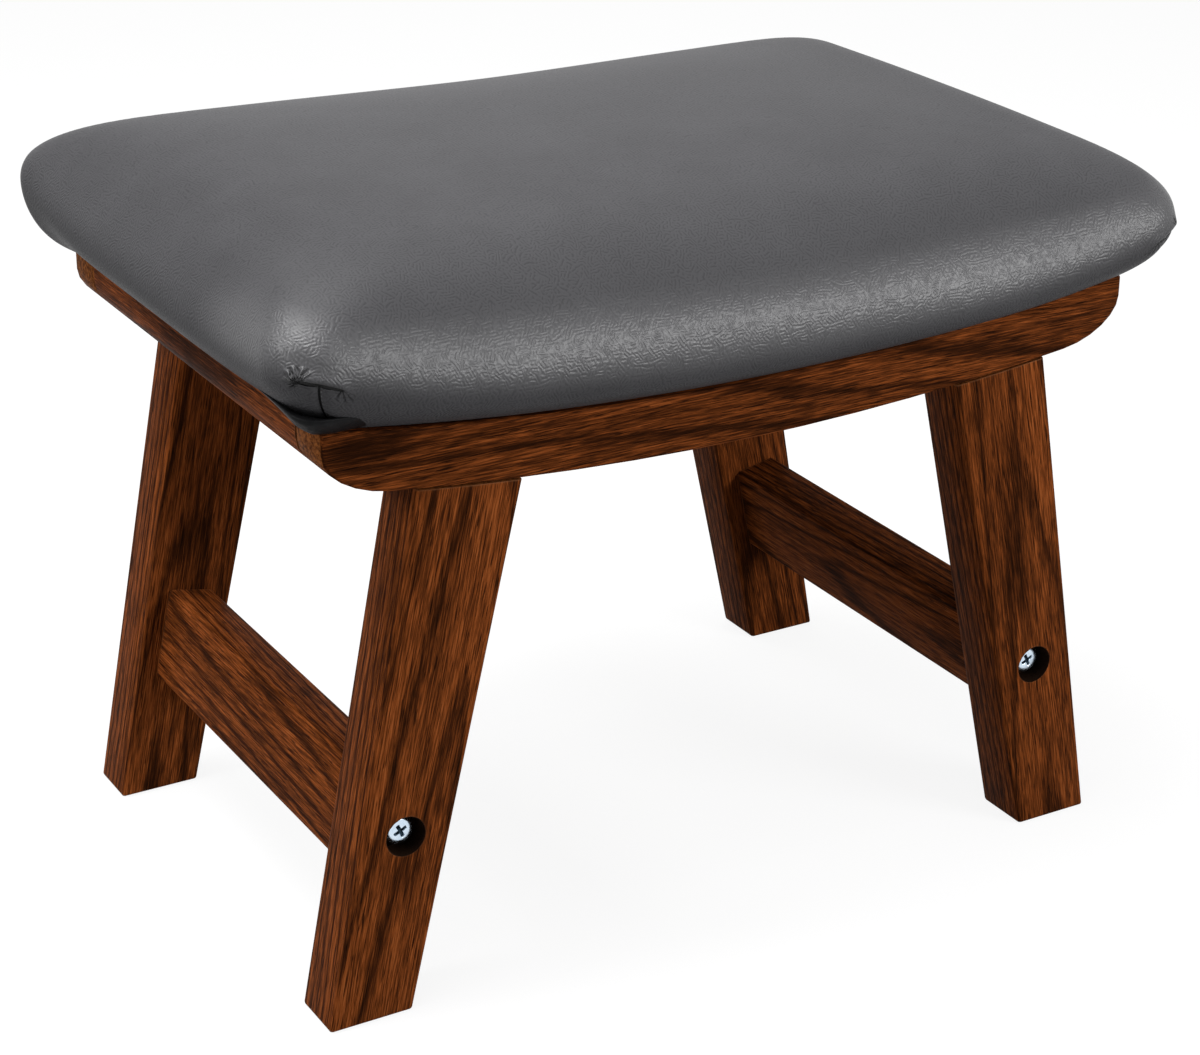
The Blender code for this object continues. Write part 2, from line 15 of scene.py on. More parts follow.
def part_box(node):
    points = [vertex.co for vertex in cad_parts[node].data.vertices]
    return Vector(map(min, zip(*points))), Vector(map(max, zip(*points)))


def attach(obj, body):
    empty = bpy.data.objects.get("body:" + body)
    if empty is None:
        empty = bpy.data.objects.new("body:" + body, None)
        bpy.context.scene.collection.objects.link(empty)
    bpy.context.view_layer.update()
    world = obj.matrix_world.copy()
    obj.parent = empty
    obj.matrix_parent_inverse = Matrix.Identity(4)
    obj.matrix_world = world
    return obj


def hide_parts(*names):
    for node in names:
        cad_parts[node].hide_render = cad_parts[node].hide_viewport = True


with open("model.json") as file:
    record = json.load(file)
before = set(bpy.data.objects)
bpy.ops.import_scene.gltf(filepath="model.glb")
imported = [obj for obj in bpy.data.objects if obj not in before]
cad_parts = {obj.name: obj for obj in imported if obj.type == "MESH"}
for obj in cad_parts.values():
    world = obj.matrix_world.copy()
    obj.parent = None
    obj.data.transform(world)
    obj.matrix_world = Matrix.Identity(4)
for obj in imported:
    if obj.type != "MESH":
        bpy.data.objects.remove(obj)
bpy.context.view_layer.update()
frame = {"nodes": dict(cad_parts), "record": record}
nodes = frame["nodes"]

# Camera, standing where the photograph was taken from
VIEW_AZIMUTH = math.radians(-30.36)
VIEW_ELEVATION = math.radians(23.73)
VIEW_ROLL = math.radians(0.49)
CAMERA_PLACE = (-0.5639, -0.9641, 0.6166)
CAMERA_LENS = 86.05
CAMERA_SENSOR = 36.0
CAMERA_SHIFT = (0.0062, 0.0016)

# Studio: floor, light from all round and lamps
FLOOR_SIZE = 8.0
FLOOR_DROP = 0.0003
FLOOR_WHITE = 0.88  # share of plain white that the camera sees on the floor
FLOOR_SEEN = 0.92  # how pale the rest is
FLOOR_BOUNCE = 0.42  # how pale the floor is to the light that it throws back up
AMBIENT_LEVEL = 0.30
LAMP_TARGET = (0.0, -0.05, 0.25)
SOFTBOXES = {  # place, width and height, and power
    "overhead_softbox": ((-0.34, 0.12, 1.60), (1.3, 1.0), 45.0),
    "key_softbox": ((0.88, -1.41, 0.79), (0.70, 0.30), 20.0),
    "rim_softbox": ((-1.35, 0.10, 1.00), (0.35, 0.35), 10.0),
}

# Saddle seat
SADDLE_RADIUS = 1.22
SEAT_GAP = 0.0003  # cover's underside above the rails
BOARD_CORNER = 0.012
CUSHION_CORNER = 0.024
GIRTH_RISE = 0.019  # widest line above the rails' top edge
SHOULDER_WIDTH = 0.044
SHOULDER_RISE = 0.037
SHOULDER_DROP = 0.005  # how much lower the shoulder is at the ends
SHOULDER_SHARE = 0.4  # outer share of the top's rings that the shoulder takes
CROWN_RISE = 0.0165
CROWN_END_POWER = 2.5  # how late the crown falls towards the ends
CROWN_SIDE_POWER = 3.2  # how late it falls towards the front and back
FILL_TILT = 0.0025  # how much fuller the filling is at the left end than in the middle
SIDE_PULL = 0.0012  # how far the sides draw in between the corners
FRONT_CORNER_RISE = 0.0045  # how far the seams draw the widest line up at the front corners
BACK_CORNER_RISE = 0.0060
CORNER_SPREAD = 0.042
CORNER_LIFT = 0.0002  # how far the cover is drawn up under the front corners
BACK_CORNER_LIFT = -0.0065  # the back corners hang a little instead
LIFT_SPREAD = 0.026

# Cover mesh: fine at the corner seams, coarser away from them
FINE_STEP = 0.0011
FINE_REACH = 0.020
COARSE_STEP = 0.006
STEP_GROWTH = 1.25
TUCK_RINGS = 28

# Cloth settling of the cover
CLOTH_INSET = 0.0003
CLOTH_PRESSURE = 2.0
CLOTH_STIFFNESS = 40
CLOTH_BENDING = 6
CLOTH_QUALITY = 4
CLOTH_FRAMES = 20
CLOTH_HELD = GIRTH_RISE / 6  # level above the rails up to which the cover is held
CLOTH_REACH = 0.003  # cap on how far a point may move
CLOTH_EASING = 60  # rounds of smoothing of the cloth's move

# Leather, with creases like a finger's print, painted darker in their valleys as shade
LEATHER_TONES = ((0.3, (0.0440, 0.0434, 0.0459)), (0.7, (0.0494, 0.0488, 0.0516)))
LEATHER_SPECULAR = 0.006
CLOUD_SCALE = 38.0  # of the leather's uneven tone
FINE_GRAIN_SCALE = 2600.0
FINE_GRAIN_SHARE = 0.35
# painted shade in the creases' valleys: its colour and its share
CREASE_PAINTED_SHADE = (0.015, 0.015, 0.016)
CREASE_SHADE = 0.35
CREASE_PITCH = 0.0013
CREASE_RELIEF = 0.00015
CREASE_PATCHES = 380.0  # patches of one way per metre
CREASE_CHOICE = 7.0  # how fully one way rules its patch
CREASE_BENDS = 170.0  # bends per metre
CREASE_BEND_REACH = 0.0030
CREASE_WAYS = (  # two rows of ways across which the creases run, even all round
    ((0.0, 0.526, 0.851), (0.526, 0.851, 0.0), (0.851, 0.0, 0.526)),
    ((0.0, 0.526, -0.851), (0.526, -0.851, 0.0), (0.851, 0.0, -0.526)),
)
WEAR_LEVELS = (0.014, 0.036)  # way up over which the creases wear down towards the top
TOP_CREASES = 0.4  # share of their relief that is left on the top

# Polish of the leather: on the roll over the widest line, most in the middle and at the front
POLISH_ROUGHNESS = 0.42
ROLL_LEVELS = (-0.006, 0.010)  # way up over which the roll gets its polish
SIDE_POLISH = 0.05
ROLL_POLISH = 0.95
TOP_LEVELS = (0.014, 0.034)  # way up over which it fades towards the top
TOP_POLISH = 0.18  # share of the roll's polish
END_REACH = (0.100, 0.008)  # distances from the ends over which it fades
END_POLISH = 0.12
FRONT_REACH = (-0.040, -0.115)  # places across the seat over which the front's own polish sets in
FRONT_POLISH = 0.88

# T seam at each corner: a dart along the widest line and a seam below it
FAINT_SEAM = 0.45  # relief of the other seams against the front left one
# painted shade along the T seam: the lip's shadow over the dart and the shade in the seam's groove
SEAM_PAINTED_SHADE = (0.004, 0.004, 0.004)
SEAM_SHIFT = 0.0075  # seam's place towards the long side from the corner's middle
SEAM_SLANT = 0.125  # how far the seam leans back to the corner on its way down
SEAM_DEPTH = 0.0010
SEAM_WIDTH = 0.0010
SEAM_START = 0.001  # way below the dart over which the seam sinks in
SEAM_LINE = (0.00050, 0.00020)  # way from the seam where its dark line starts and is full
SEAM_LINE_START = 0.0004
SEAM_PUFF = 0.0005  # how far the leather puffs out beside the seam
PUFF_PLACE = 0.0042
PUFF_WIDTH = 0.003
PUFF_FALL = 0.018
STITCH_COLOUR = (0.12, 0.12, 0.12)
STITCH_SHARE = 0.7
STITCH_PITCH = 0.0021
STITCH_SHIFT = 0.0008  # from the seam
STITCH_ENDS = (0.1, 0.7)  # heights of their wave where a stitch starts and is full
STITCH_LINE = (0.0003, 0.0001)
DART_ARM = 0.0090
DART_LEVEL = -0.0024  # of the dart, from the widest line
DART_DROOP = 0.0006  # how far the dart's end on the long side hangs
DART_LINE = (0.0013, 0.0008)  # way from its dark line's middle where the line starts and is full
DART_LINE_END = 0.0012
DART_THINNING = 0.6  # of its dark line towards the long side
DART_SINK = 0.0006  # how far its painted shadow line lies below the lip's edge
DART_HOLLOW = 0.0008  # how far the leather sinks in below it
HOLLOW_FALL = 0.003
HOLLOW_ENDS = (0.003, 0.0015)  # way before and past the dart's ends where it fades
HEM_DROP = 0.00192  # raised hem, below the dart
HEM_WIDTH = 0.0008
HEM_SHARE = 0.4
LIP_RISE = 0.0026
LIP_REACH = 0.0014
LIP_FULLNESS = 0.7  # mean fullness along the dart
LIP_LEAN = 0.3  # how much fuller it is on the end's side
LIP_LEAN_REACH = 0.006
LIP_END = 0.002  # way before the dart's ends where the lip turns round them
LIP_WRAP = 0.003
LIP_WRAP_FALL = 0.002

# Small folds that fan out from the dart's ends
FAN_RELIEF = 0.0008
FAN_FOLDS = 11.0  # in a full turn
FAN_START = (0.0005, 0.0016)
FAN_END = (0.0072, 0.0042)
FAN_EDGE = 0.5  # angle over which the outermost folds fade
FAN_WOBBLE = 4.0
FAN_WOBBLE_SCALE = 240.0
DART_FANS = (  # side, hub along the dart, strength, and lowest and highest angle of the folds
    (-1, 0.0062, 1.7, -1.2, 2.5),
    (1, 0.0080, 0.5, -2.6, -0.1),
)

# Fold of the cover under the front left corner, painted near black as shade
FOLD_SHADE_TONES = ((0.3, (0.004, 0.004, 0.0045)), (0.7, (0.008, 0.008, 0.0085)))
FOLD_END_REACH = 0.042
FOLD_SIDE_REACH = 0.029
FOLD_TAPER = 1.2
FOLD_STEPS = 40
FOLD_CORNER = 0.010
FOLD_HIDDEN = 0.0015  # how far the fold's ends are up inside the cushion
FOLD_SECTION = (  # inset from the cushion's widest line and level above the rails, round the fold
    (0.0070, 0.0100),
    (0.0090, 0.0060),
    (0.0115, 0.0026),
    (0.0145, 0.0008),
    (0.0175, -0.0003),
    (0.0199, -0.0005),
    (0.0201, 0.0020),
    (0.0150, 0.0080),
)

# Walnut figure: scales are per metre, along the grain and both ways across it
DRIFT_SCALE = (5.0, 45.0, 45.0)
DRIFT_REACH = (0.0, 0.006, 0.006)  # how far the figure wanders across the grain
RINGS_PER_METRE = 260.0
RING_SHARPNESS = 6.0
BROAD_SCALE = (4.0, 60.0, 60.0)
STREAK_SCALE = (11.0, 420.0, 420.0)
FIBRE_SCALE = (75.0, 1900.0, 1900.0)
PORE_SCALE = (95.0, 2100.0, 2100.0)
PORE_RANGE = (0.60, 0.70)
RING_SHARE = 0.14
BROAD_SHARE = 0.18
STREAK_SHARE = 0.26
FIBRE_SHARE = 0.72
TONE_RANGE = (0.465, 0.925)
WALNUT_TONES = (
    (0.0, (0.016, 0.0048, 0.0017)),
    (0.28, (0.044, 0.0118, 0.0032)),
    (0.55, (0.094, 0.0245, 0.0058)),
    (0.80, (0.175, 0.0440, 0.0095)),
    (1.0, (0.270, 0.0760, 0.0190)),
)
PORE_COLOUR = (0.006, 0.0026, 0.0012)
PORE_SHARE = 0.85
SAWN_TONES = ((0.36, (0.040, 0.0115, 0.003)), (0.66, (0.20, 0.066, 0.017)))
SAWN_SCALE = 620.0
WALNUT_SPECULAR = 0.004
WALNUT_RELIEF = 0.00012
WORN_WALNUT = (0.20, 0.085, 0.038)
WEAR_AMOUNT = 0.55
WEAR_REACH = 0.0012

# Cuts of the log: first place along it, spacing, way across and depth from the pith, and taper
LONG_RAIL_CUT = (0.0, 0.31, 0.006, 0.048, 0.03)
END_RAIL_CUT = (1.3, 1.0, 0.010, 0.050, 0.02)
STRETCHER_CUT = (2.6, 1.0, 0.012, 0.042, 0.04)
LEG_CUT = (4.0, 0.7, 0.004, 0.040, 0.025)
LONG_RAIL_DARKNESS = 0.035
LEG_DARKNESS = {"front_left": -0.015, "front_right": 0.005, "back_left": -0.005, "back_right": 0.015}
LEG_WIDTH = 0.040  # at mid height

# Shade painted near black inside the legs' counterbores
BORE_PAINTED_SHADE = (0.011, 0.0056, 0.0033)
BORE_REACH = 0.00845  # reach of the painted shade on the wall, from the bolt's axis
BORE_EDGE = 0.00025

# Stretcher bolts, with a cross-shaped driver recess
ZINC_TONES = ((0.3, (0.55, 0.66, 0.78)), (0.7, (0.72, 0.82, 0.92)))
# painted shade in the driver recess
RECESS_PAINTED_SHADE = (0.020, 0.034, 0.048)
BOLT_SHANK = 0.003
BOLT_TIP = 0.0018
BOLT_TIP_LENGTH = 0.001
BOLT_HEAD_HEIGHT = 0.004
BOLT_ROUNDING = 0.0026
BOLT_ROUNDING_STEPS = 8
BOLT_FACE_RINGS = 24
BOLT_TURNS = 96
RECESS_ARM = 0.0027
RECESS_HALF_WIDTH = 0.00062
RECESS_WALL = 0.0001
RECESS_END = 0.00015
RECESS_DEPTH = 0.0017
RECESS_RISE = 0.5  # share of the depth that is lost at the arms' ends
RECESS_TURN = math.radians(25)

# Finishes inside the frame
BEECH_TONES = ((0.3, (0.36, 0.22, 0.105)), (0.7, (0.56, 0.39, 0.215)))
BEECH_SCALE = (60.0, 60.0, 420.0)
PLYWOOD_TONES = ((0.3, (0.33, 0.21, 0.105)), (0.7, (0.50, 0.35, 0.195)))
PLYWOOD_SCALE = (30.0, 380.0, 380.0)
PLY_EDGE = (0.22, 0.13, 0.06)
PLY_EDGE_SHARE = 0.3
PLY_SCALE = 110.0
DUST_CLOTH_TONES = ((0.35, (0.008, 0.008, 0.009)), (0.7, (0.030, 0.030, 0.032)))
INNER_WOOD_SPECULAR = 0.25

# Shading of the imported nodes
WELD_REACH = 0.00001
CRISP_ANGLE = math.radians(50)

SIDES = {"left": -1, "right": 1}
ROWS = {"front": -1, "back": 1}
CORNERS = {row + "_" + side: (x, y) for row, y in ROWS.items() for side, x in SIDES.items()}

seat_low, seat_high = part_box("seat_cover")
HALF_LENGTH, HALF_DEPTH = seat_high.x, seat_high.y
RAIL_TOP = seat_low.z - SEAT_GAP
BOARD_HALF_LENGTH, BOARD_HALF_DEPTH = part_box("seat_board")[1].xy


def middle_of(node):
    """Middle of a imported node."""
    low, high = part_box(node)
    return (low + high) / 2


def new_object(name, mesh, material, body="root"):
    """Links a mesh as a piece of the stool."""
    piece = bpy.data.objects.new(name, mesh)
    bpy.context.scene.collection.objects.link(piece)
    mesh.materials.append(material)
    if body:
        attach(piece, body)
    return piece


def ringed_mesh(name, points, width):
    """A smooth closed mesh through rings of points, whose faces all look outwards."""
    faces = []
    for start in range(0, len(points) - width, width):
        for k in range(width):
            after = (k + 1) % width
            faces.append((start + k, start + after, start + width + after, start + width + k))
    faces.append(tuple(range(width)))
    faces.append(tuple(range(len(points) - width, len(points))))
    mesh = bpy.data.meshes.new(name)
    mesh.from_pydata(points, [], faces)
    shape = bmesh.new()
    shape.from_mesh(mesh)
    bmesh.ops.recalc_face_normals(shape, faces=shape.faces)
    shape.to_mesh(mesh)
    shape.free()
    mesh.shade_smooth()
    return mesh


def subdivide_once(piece):
    """Smooths a piece by one round of subdivision."""
    smoothing = piece.modifiers.new("smoothing", "SUBSURF")
    smoothing.levels = 1
    smoothing.render_levels = 1


# Shader helpers

def put(tree, kind, inputs=(), **settings):
    """Adds a node with its settings and its inputs, each a value or another node's output."""
    made = tree.nodes.new(kind)
    for name, value in settings.items():
        setattr(made, name, value)
    for key, value in dict(inputs).items():
        if isinstance(value, bpy.types.NodeSocket):
            tree.links.new(value, made.inputs[key])
        else:
            made.inputs[key].default_value = value
    return made


def calc(tree, operation, *values):
    """One step of arithmetic."""
    return put(tree, "ShaderNodeMath", enumerate(values), operation=operation).outputs[0]


def product(tree, result, *others):
    """Several values multiplied."""
    for other in others:
        result = calc(tree, "MULTIPLY", result, other)
    return result


def vector_calc(tree, operation, *values):
    """One step of arithmetic with vectors, which gives a vector."""
    return put(tree, "ShaderNodeVectorMath", enumerate(values), operation=operation).outputs["Vector"]


def vector_measure(tree, operation, *values):
    """One step of arithmetic with vectors, which gives a number."""
    return put(tree, "ShaderNodeVectorMath", enumerate(values), operation=operation).outputs["Value"]


def split(tree, vector):
    """The three parts of a vector."""
    return put(tree, "ShaderNodeSeparateXYZ", {"Vector": vector}).outputs


def noise(tree, place, scale, detail=4.0, roughness=0.55, distortion=0.0):
    """Noise from 0 to 1 at a place."""
    pattern = {"Scale": scale, "Detail": detail, "Roughness": roughness, "Distortion": distortion}
    return put(tree, "ShaderNodeTexNoise", {"Vector": place, **pattern}).outputs["Fac"]


def noise_vector(tree, place, scale, detail=0.0):
    """Three noises from 0 to 1 at a place."""
    inputs = {"Vector": place, "Scale": scale, "Detail": detail}
    return put(tree, "ShaderNodeTexNoise", inputs).outputs["Color"]


def stretch(tree, place, scales):
    """A place scaled along each axis."""
    return put(tree, "ShaderNodeMapping", {"Vector": place, "Scale": scales}).outputs["Vector"]


def fade(tree, value, start, end, low=0.0, high=1.0):
    """A smooth step from low to high while the value goes from start to end."""
    inputs = {"Value": value, "From Min": start, "From Max": end, "To Min": low, "To Max": high}
    return put(tree, "ShaderNodeMapRange", inputs, interpolation_type="SMOOTHSTEP").outputs["Result"]


def ramp(tree, value, stops):
    """A colour ramp through stops of place and colour."""
    made = put(tree, "ShaderNodeValToRGB", {"Fac": value})
    elements = made.color_ramp.elements
    while len(elements) < len(stops):
        elements.new(0.5)
    for element, (place, colour) in zip(elements, stops):
        element.position = place
        element.color = (*colour, 1.0)
    return made.outputs["Color"]


def blend(tree, share, first, second):
    """A mix of two colours."""
    inputs = {0: share}
    for key, colour in ((6, first), (7, second)):
        inputs[key] = colour if isinstance(colour, bpy.types.NodeSocket) else (*colour, 1.0)
    return put(tree, "ShaderNodeMix", inputs, data_type="RGBA").outputs[2]


def bump(tree, height, distance, under=None):
    """Normal of a surface with a height, on top of another normal."""
    inputs = {"Height": height, "Distance": distance}
    if under:
        inputs["Normal"] = under
    return put(tree, "ShaderNodeBump", inputs).outputs["Normal"]


def own_place(tree):
    """Place on a piece, in metres of the shared frame."""
    return tree.nodes.new("ShaderNodeTexCoord").outputs["Object"]


def outwards(tree):
    """The way that a surface faces."""
    return tree.nodes.new("ShaderNodeNewGeometry").outputs["Normal"]


def new_group(name, inputs, outputs):
    """An empty node group with named sockets, what it is given, and the node for its results."""
    group = bpy.data.node_groups.new(name, "ShaderNodeTree")
    for way, sockets in (("INPUT", inputs), ("OUTPUT", outputs)):
        for label, kind in sockets.items():
            group.interface.new_socket(label, in_out=way, socket_type="NodeSocket" + kind)
    return group, group.nodes.new("NodeGroupInput").outputs, group.nodes.new("NodeGroupOutput")


def place_group(tree, group, inputs):
    """Places a group in a material."""
    return put(tree, "ShaderNodeGroup", inputs, node_tree=group).outputs


def new_finish(name, **plain):
    """A material with its tree and its shader, whose plain values are set by name."""
    made = bpy.data.materials.new(name)
    made.use_nodes = True
    tree = made.node_tree
    shader = tree.nodes["Principled BSDF"]
    for key, value in plain.items():
        shader.inputs[key.replace("_", " ")].default_value = value
    return made, tree, shader


def link_surface(tree, shader, colour, roughness, normal):
    """Links a finish's colour, roughness and normal to its shader."""
    for key, value in (("Base Color", colour), ("Roughness", roughness), ("Normal", normal)):
        tree.links.new(value, shader.inputs[key])


# Walnut

def walnut_figure():
    """Stained walnut in a board's own place: X along the grain, Z out of the face, pith on the X axis."""
    group, given, result = new_group(
        "walnut_figure",
        {"Place": "Vector", "Taper": "Float", "Darkness": "Float"},
        {"Colour": "Color", "Roughness": "Float", "Height": "Float"},
    )
    drift = noise_vector(group, stretch(group, given["Place"], DRIFT_SCALE), 1.0, 2.0)
    place = vector_calc(group, "MULTIPLY_ADD", drift, DRIFT_REACH, given["Place"])
    axes = split(group, place)
    across = calc(group, "MULTIPLY", axes["Y"], axes["Y"])
    depth = calc(group, "MULTIPLY", axes["Z"], axes["Z"])
    radius = calc(group, "SQRT", calc(group, "ADD", across, depth))
    radius = calc(group, "MULTIPLY_ADD", axes["X"], given["Taper"], radius)
    turn = calc(group, "MULTIPLY", radius, 2 * math.pi * RINGS_PER_METRE)
    rings = calc(group, "MULTIPLY_ADD", calc(group, "SINE", turn), 0.5, 0.5)
    rings = calc(group, "SUBTRACT", 1.0, calc(group, "POWER", rings, RING_SHARPNESS))
    broad = noise(group, stretch(group, place, BROAD_SCALE), 1.0, 2.0)
    streaks = noise(group, stretch(group, place, STREAK_SCALE), 1.0, 3.0, 0.6)
    fibres = noise(group, stretch(group, place, FIBRE_SCALE), 1.0, 3.0, 0.62)
    tone = calc(group, "MULTIPLY_ADD", rings, RING_SHARE, calc(group, "MULTIPLY", streaks, STREAK_SHARE))
    tone = calc(group, "MULTIPLY_ADD", broad, BROAD_SHARE, tone)
    tone = calc(group, "MULTIPLY_ADD", fibres, FIBRE_SHARE, tone)
    tone = calc(group, "SUBTRACT", tone, given["Darkness"])
    stained = ramp(group, fade(group, tone, *TONE_RANGE), WALNUT_TONES)
    pores = noise(group, stretch(group, place, PORE_SCALE), 1.0, 1.0, 0.5)
    pores = fade(group, pores, *PORE_RANGE)
    colour = blend(group, calc(group, "MULTIPLY", pores, PORE_SHARE), stained, PORE_COLOUR)
    roughness = fade(group, tone, 0.3, 1.0, 0.50, 0.36)
    height = calc(group, "MULTIPLY_ADD", pores, -0.8, calc(group, "MULTIPLY", fibres, 0.5))
    for key, value in (("Colour", colour), ("Roughness", roughness), ("Height", height)):
        group.links.new(value, result.inputs[key])
    return group


def edge_wear():
    """Mask of the arrises where a finish has worn thin."""
    group, given, result = new_group("edge_wear", {"Place": "Vector", "Amount": "Float"}, {"Mask": "Float"})
    eased = put(group, "ShaderNodeBevel", {"Radius": WEAR_REACH}, samples=6).outputs["Normal"]
    sharp = fade(group, vector_measure(group, "DOT_PRODUCT", eased, outwards(group)), 0.985, 0.90)
    patches = fade(group, noise(group, given["Place"], 60.0, 4.0), 0.35, 0.65, 0.25, 1.0)
    group.links.new(product(group, sharp, patches, given["Amount"]), result.inputs["Mask"])
    return group


WALNUT_FIGURE = walnut_figure()
EDGE_WEAR = edge_wear()


def walnut(node, grain, face, cut, number, darkness=0.0, bore=None):
    """Walnut for one piece: grain and face are directions, number counts the pieces of a cut.

    The shade inside the counterbore round a bore's middle is painted near black.
    """
    made, tree, shader = new_finish("walnut_" + node, Specular_IOR_Level=WALNUT_SPECULAR)
    start, spacing, across, depth, taper = cut
    along, out = Vector(grain).normalized(), Vector(face).normalized()
    turn = Matrix((along, out.cross(along), out))
    shift = Vector((start + spacing * number, across, depth)) - turn @ middle_of(node)
    inputs = {"Vector": own_place(tree), "Location": shift, "Rotation": turn.to_euler()}
    place = put(tree, "ShaderNodeMapping", inputs).outputs["Vector"]
    figure = place_group(tree, WALNUT_FIGURE, {"Place": place, "Taper": taper, "Darkness": darkness})
    facing = vector_measure(tree, "DOT_PRODUCT", outwards(tree), along)
    sawn = fade(tree, calc(tree, "ABSOLUTE", facing), 0.70, 0.92)
    ends = ramp(tree, noise(tree, place, SAWN_SCALE, 4.0, 0.65), SAWN_TONES)
    wear = place_group(tree, EDGE_WEAR, {"Place": place, "Amount": WEAR_AMOUNT})["Mask"]
    colour = blend(tree, sawn, figure["Colour"], ends)
    colour = blend(tree, wear, colour, WORN_WALNUT)
    if bore:
        flat = vector_calc(tree, "MULTIPLY", own_place(tree), (1, 0, 1))
        away = vector_measure(tree, "DISTANCE", flat, (bore.x, 0, bore.z))
        # painted shade: the counterbore's wall goes near black round the bolt
        colour = blend(tree, fade(tree, away, BORE_REACH, BORE_REACH - BORE_EDGE), colour, BORE_PAINTED_SHADE)
    normal = bump(tree, figure["Height"], WALNUT_RELIEF)
    link_surface(tree, shader, colour, figure["Roughness"], normal)
    return made


def eased_shading():
    """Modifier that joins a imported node's facets, so that curves shade smoothly between crisp edges."""
    tree = bpy.data.node_groups.new("eased_shading", "GeometryNodeTree")
    for way in ("INPUT", "OUTPUT"):
        tree.interface.new_socket("Geometry", in_out=way, socket_type="NodeSocketGeometry")
    shape = tree.nodes.new("NodeGroupInput").outputs["Geometry"]
    steps = (
        ("GeometryNodeRemoveAttribute", {"Name": "custom_normal"}, {}),
        ("GeometryNodeMergeByDistance", {"Distance": WELD_REACH}, {}),
        ("GeometryNodeSetShadeSmooth", {"Shade Smooth": True}, {"domain": "FACE"}),
    )
    for kind, values, settings in steps:
        shape = put(tree, kind, {"Geometry": shape, **values}, **settings).outputs["Geometry"]
    angle = tree.nodes.new("GeometryNodeInputMeshEdgeAngle").outputs["Unsigned Angle"]
    soft = calc(tree, "LESS_THAN", angle, CRISP_ANGLE)
    inputs = {"Geometry": shape, "Shade Smooth": soft}
    shape = put(tree, "GeometryNodeSetShadeSmooth", inputs, domain="EDGE").outputs["Geometry"]
    tree.links.new(shape, tree.nodes.new("NodeGroupOutput").inputs["Geometry"])
    return tree


EASED_SHADING = eased_shading()


def dress(node, material):
    """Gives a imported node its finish."""
    slots = nodes[node].data.materials
    slots.clear()
    slots.append(material)
    nodes[node].modifiers.new("eased_shading", "NODES").node_group = EASED_SHADING


def dress_walnut():
    """Every walnut piece gets its own cut of the log."""
    for number, (row, y) in enumerate(ROWS.items()):
        rail = row + "_rail"
        dress(rail, walnut(rail, (-1, 0, 0), (0, y, 0), LONG_RAIL_CUT, number, LONG_RAIL_DARKNESS))
    for number, (side, x) in enumerate(SIDES.items()):
        for node, cut in ((side + "_end_rail", END_RAIL_CUT), (side + "_stretcher", STRETCHER_CUT)):
            dress(node, walnut(node, (0, 1, 0), (x, 0, 0), cut, number))
    for number, (corner, (x, y)) in enumerate(CORNERS.items()):
        leg = corner + "_leg"
        low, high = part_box(leg)
        lean = math.atan((high.x - low.x - LEG_WIDTH) / (high.z - low.z))
        grain = (-x * math.sin(lean), 0, math.cos(lean))
        bore = middle_of(corner + "_stretcher_bolt")
        dress(leg, walnut(leg, grain, (0, y, 0), LEG_CUT, number, LEG_DARKNESS[corner], bore))


# Leather cushion

def dart_fans(tree, given, along, above):
    """Height of the small folds at the dart's ends."""
    wobble = calc(tree, "MULTIPLY", noise(tree, given, FAN_WOBBLE_SCALE, 1.0), FAN_WOBBLE)
    folds = 0.0
    for side, hub, strength, lowest, highest in DART_FANS:
        run = calc(tree, "MULTIPLY_ADD", along, side, -hub)
        squares = calc(tree, "MULTIPLY_ADD", run, run, calc(tree, "MULTIPLY", above, above))
        distance = calc(tree, "SQRT", squares)
        angle = calc(tree, "ARCTAN2", above, run)
        fan = calc(tree, "SINE", calc(tree, "MULTIPLY_ADD", angle, FAN_FOLDS, wobble))
        reached = product(tree, fade(tree, distance, *FAN_START), fade(tree, distance, *FAN_END))
        first = fade(tree, angle, lowest, lowest + FAN_EDGE)
        last = fade(tree, angle, highest, highest - FAN_EDGE)
        folds = calc(tree, "MULTIPLY_ADD", fan, product(tree, reached, first, last, strength), folds)
    return folds


def seam_shading(tree):
    """Masks of the T seam's painted shadow lines and its stitches, height of its puckers, and way up from
    the dart.
    """
    given = put(tree, "ShaderNodeAttribute", attribute_name="seam_place").outputs["Vector"]
    axes = split(tree, given)
    along, up = axes["X"], axes["Y"]
    beside = calc(tree, "ABSOLUTE", along)
    hang = calc(tree, "MULTIPLY", calc(tree, "MAXIMUM", along, 0.0), 1 / DART_ARM)
    above = calc(tree, "MULTIPLY_ADD", calc(tree, "MULTIPLY", hang, hang), DART_DROOP, up)
    within = fade(tree, beside, DART_ARM, DART_ARM - DART_LINE_END)
    below = fade(tree, above, 0.0, -SEAM_LINE_START)
    off_dart = calc(tree, "ABSOLUTE", calc(tree, "ADD", above, DART_SINK))
    thinned = calc(tree, "MULTIPLY", off_dart, calc(tree, "MULTIPLY_ADD", hang, DART_THINNING, 1.0))
    dart = product(tree, fade(tree, thinned, *DART_LINE), within)
    seam = product(tree, fade(tree, beside, *SEAM_LINE), below)
    lines = calc(tree, "MAXIMUM", dart, seam)
    wave = calc(tree, "SINE", calc(tree, "MULTIPLY", up, 2 * math.pi / STITCH_PITCH))
    off_stitches = calc(tree, "ABSOLUTE", calc(tree, "SUBTRACT", along, STITCH_SHIFT))
    stitches = product(tree, fade(tree, wave, *STITCH_ENDS), fade(tree, off_stitches, *STITCH_LINE), below)
    hem = fade(tree, calc(tree, "ABSOLUTE", calc(tree, "ADD", above, HEM_DROP)), HEM_WIDTH, 0.0)
    puckers = calc(tree, "ADD", product(tree, hem, within, HEM_SHARE), dart_fans(tree, given, along, above))
    return lines, stitches, calc(tree, "SUBTRACT", puckers, lines), up


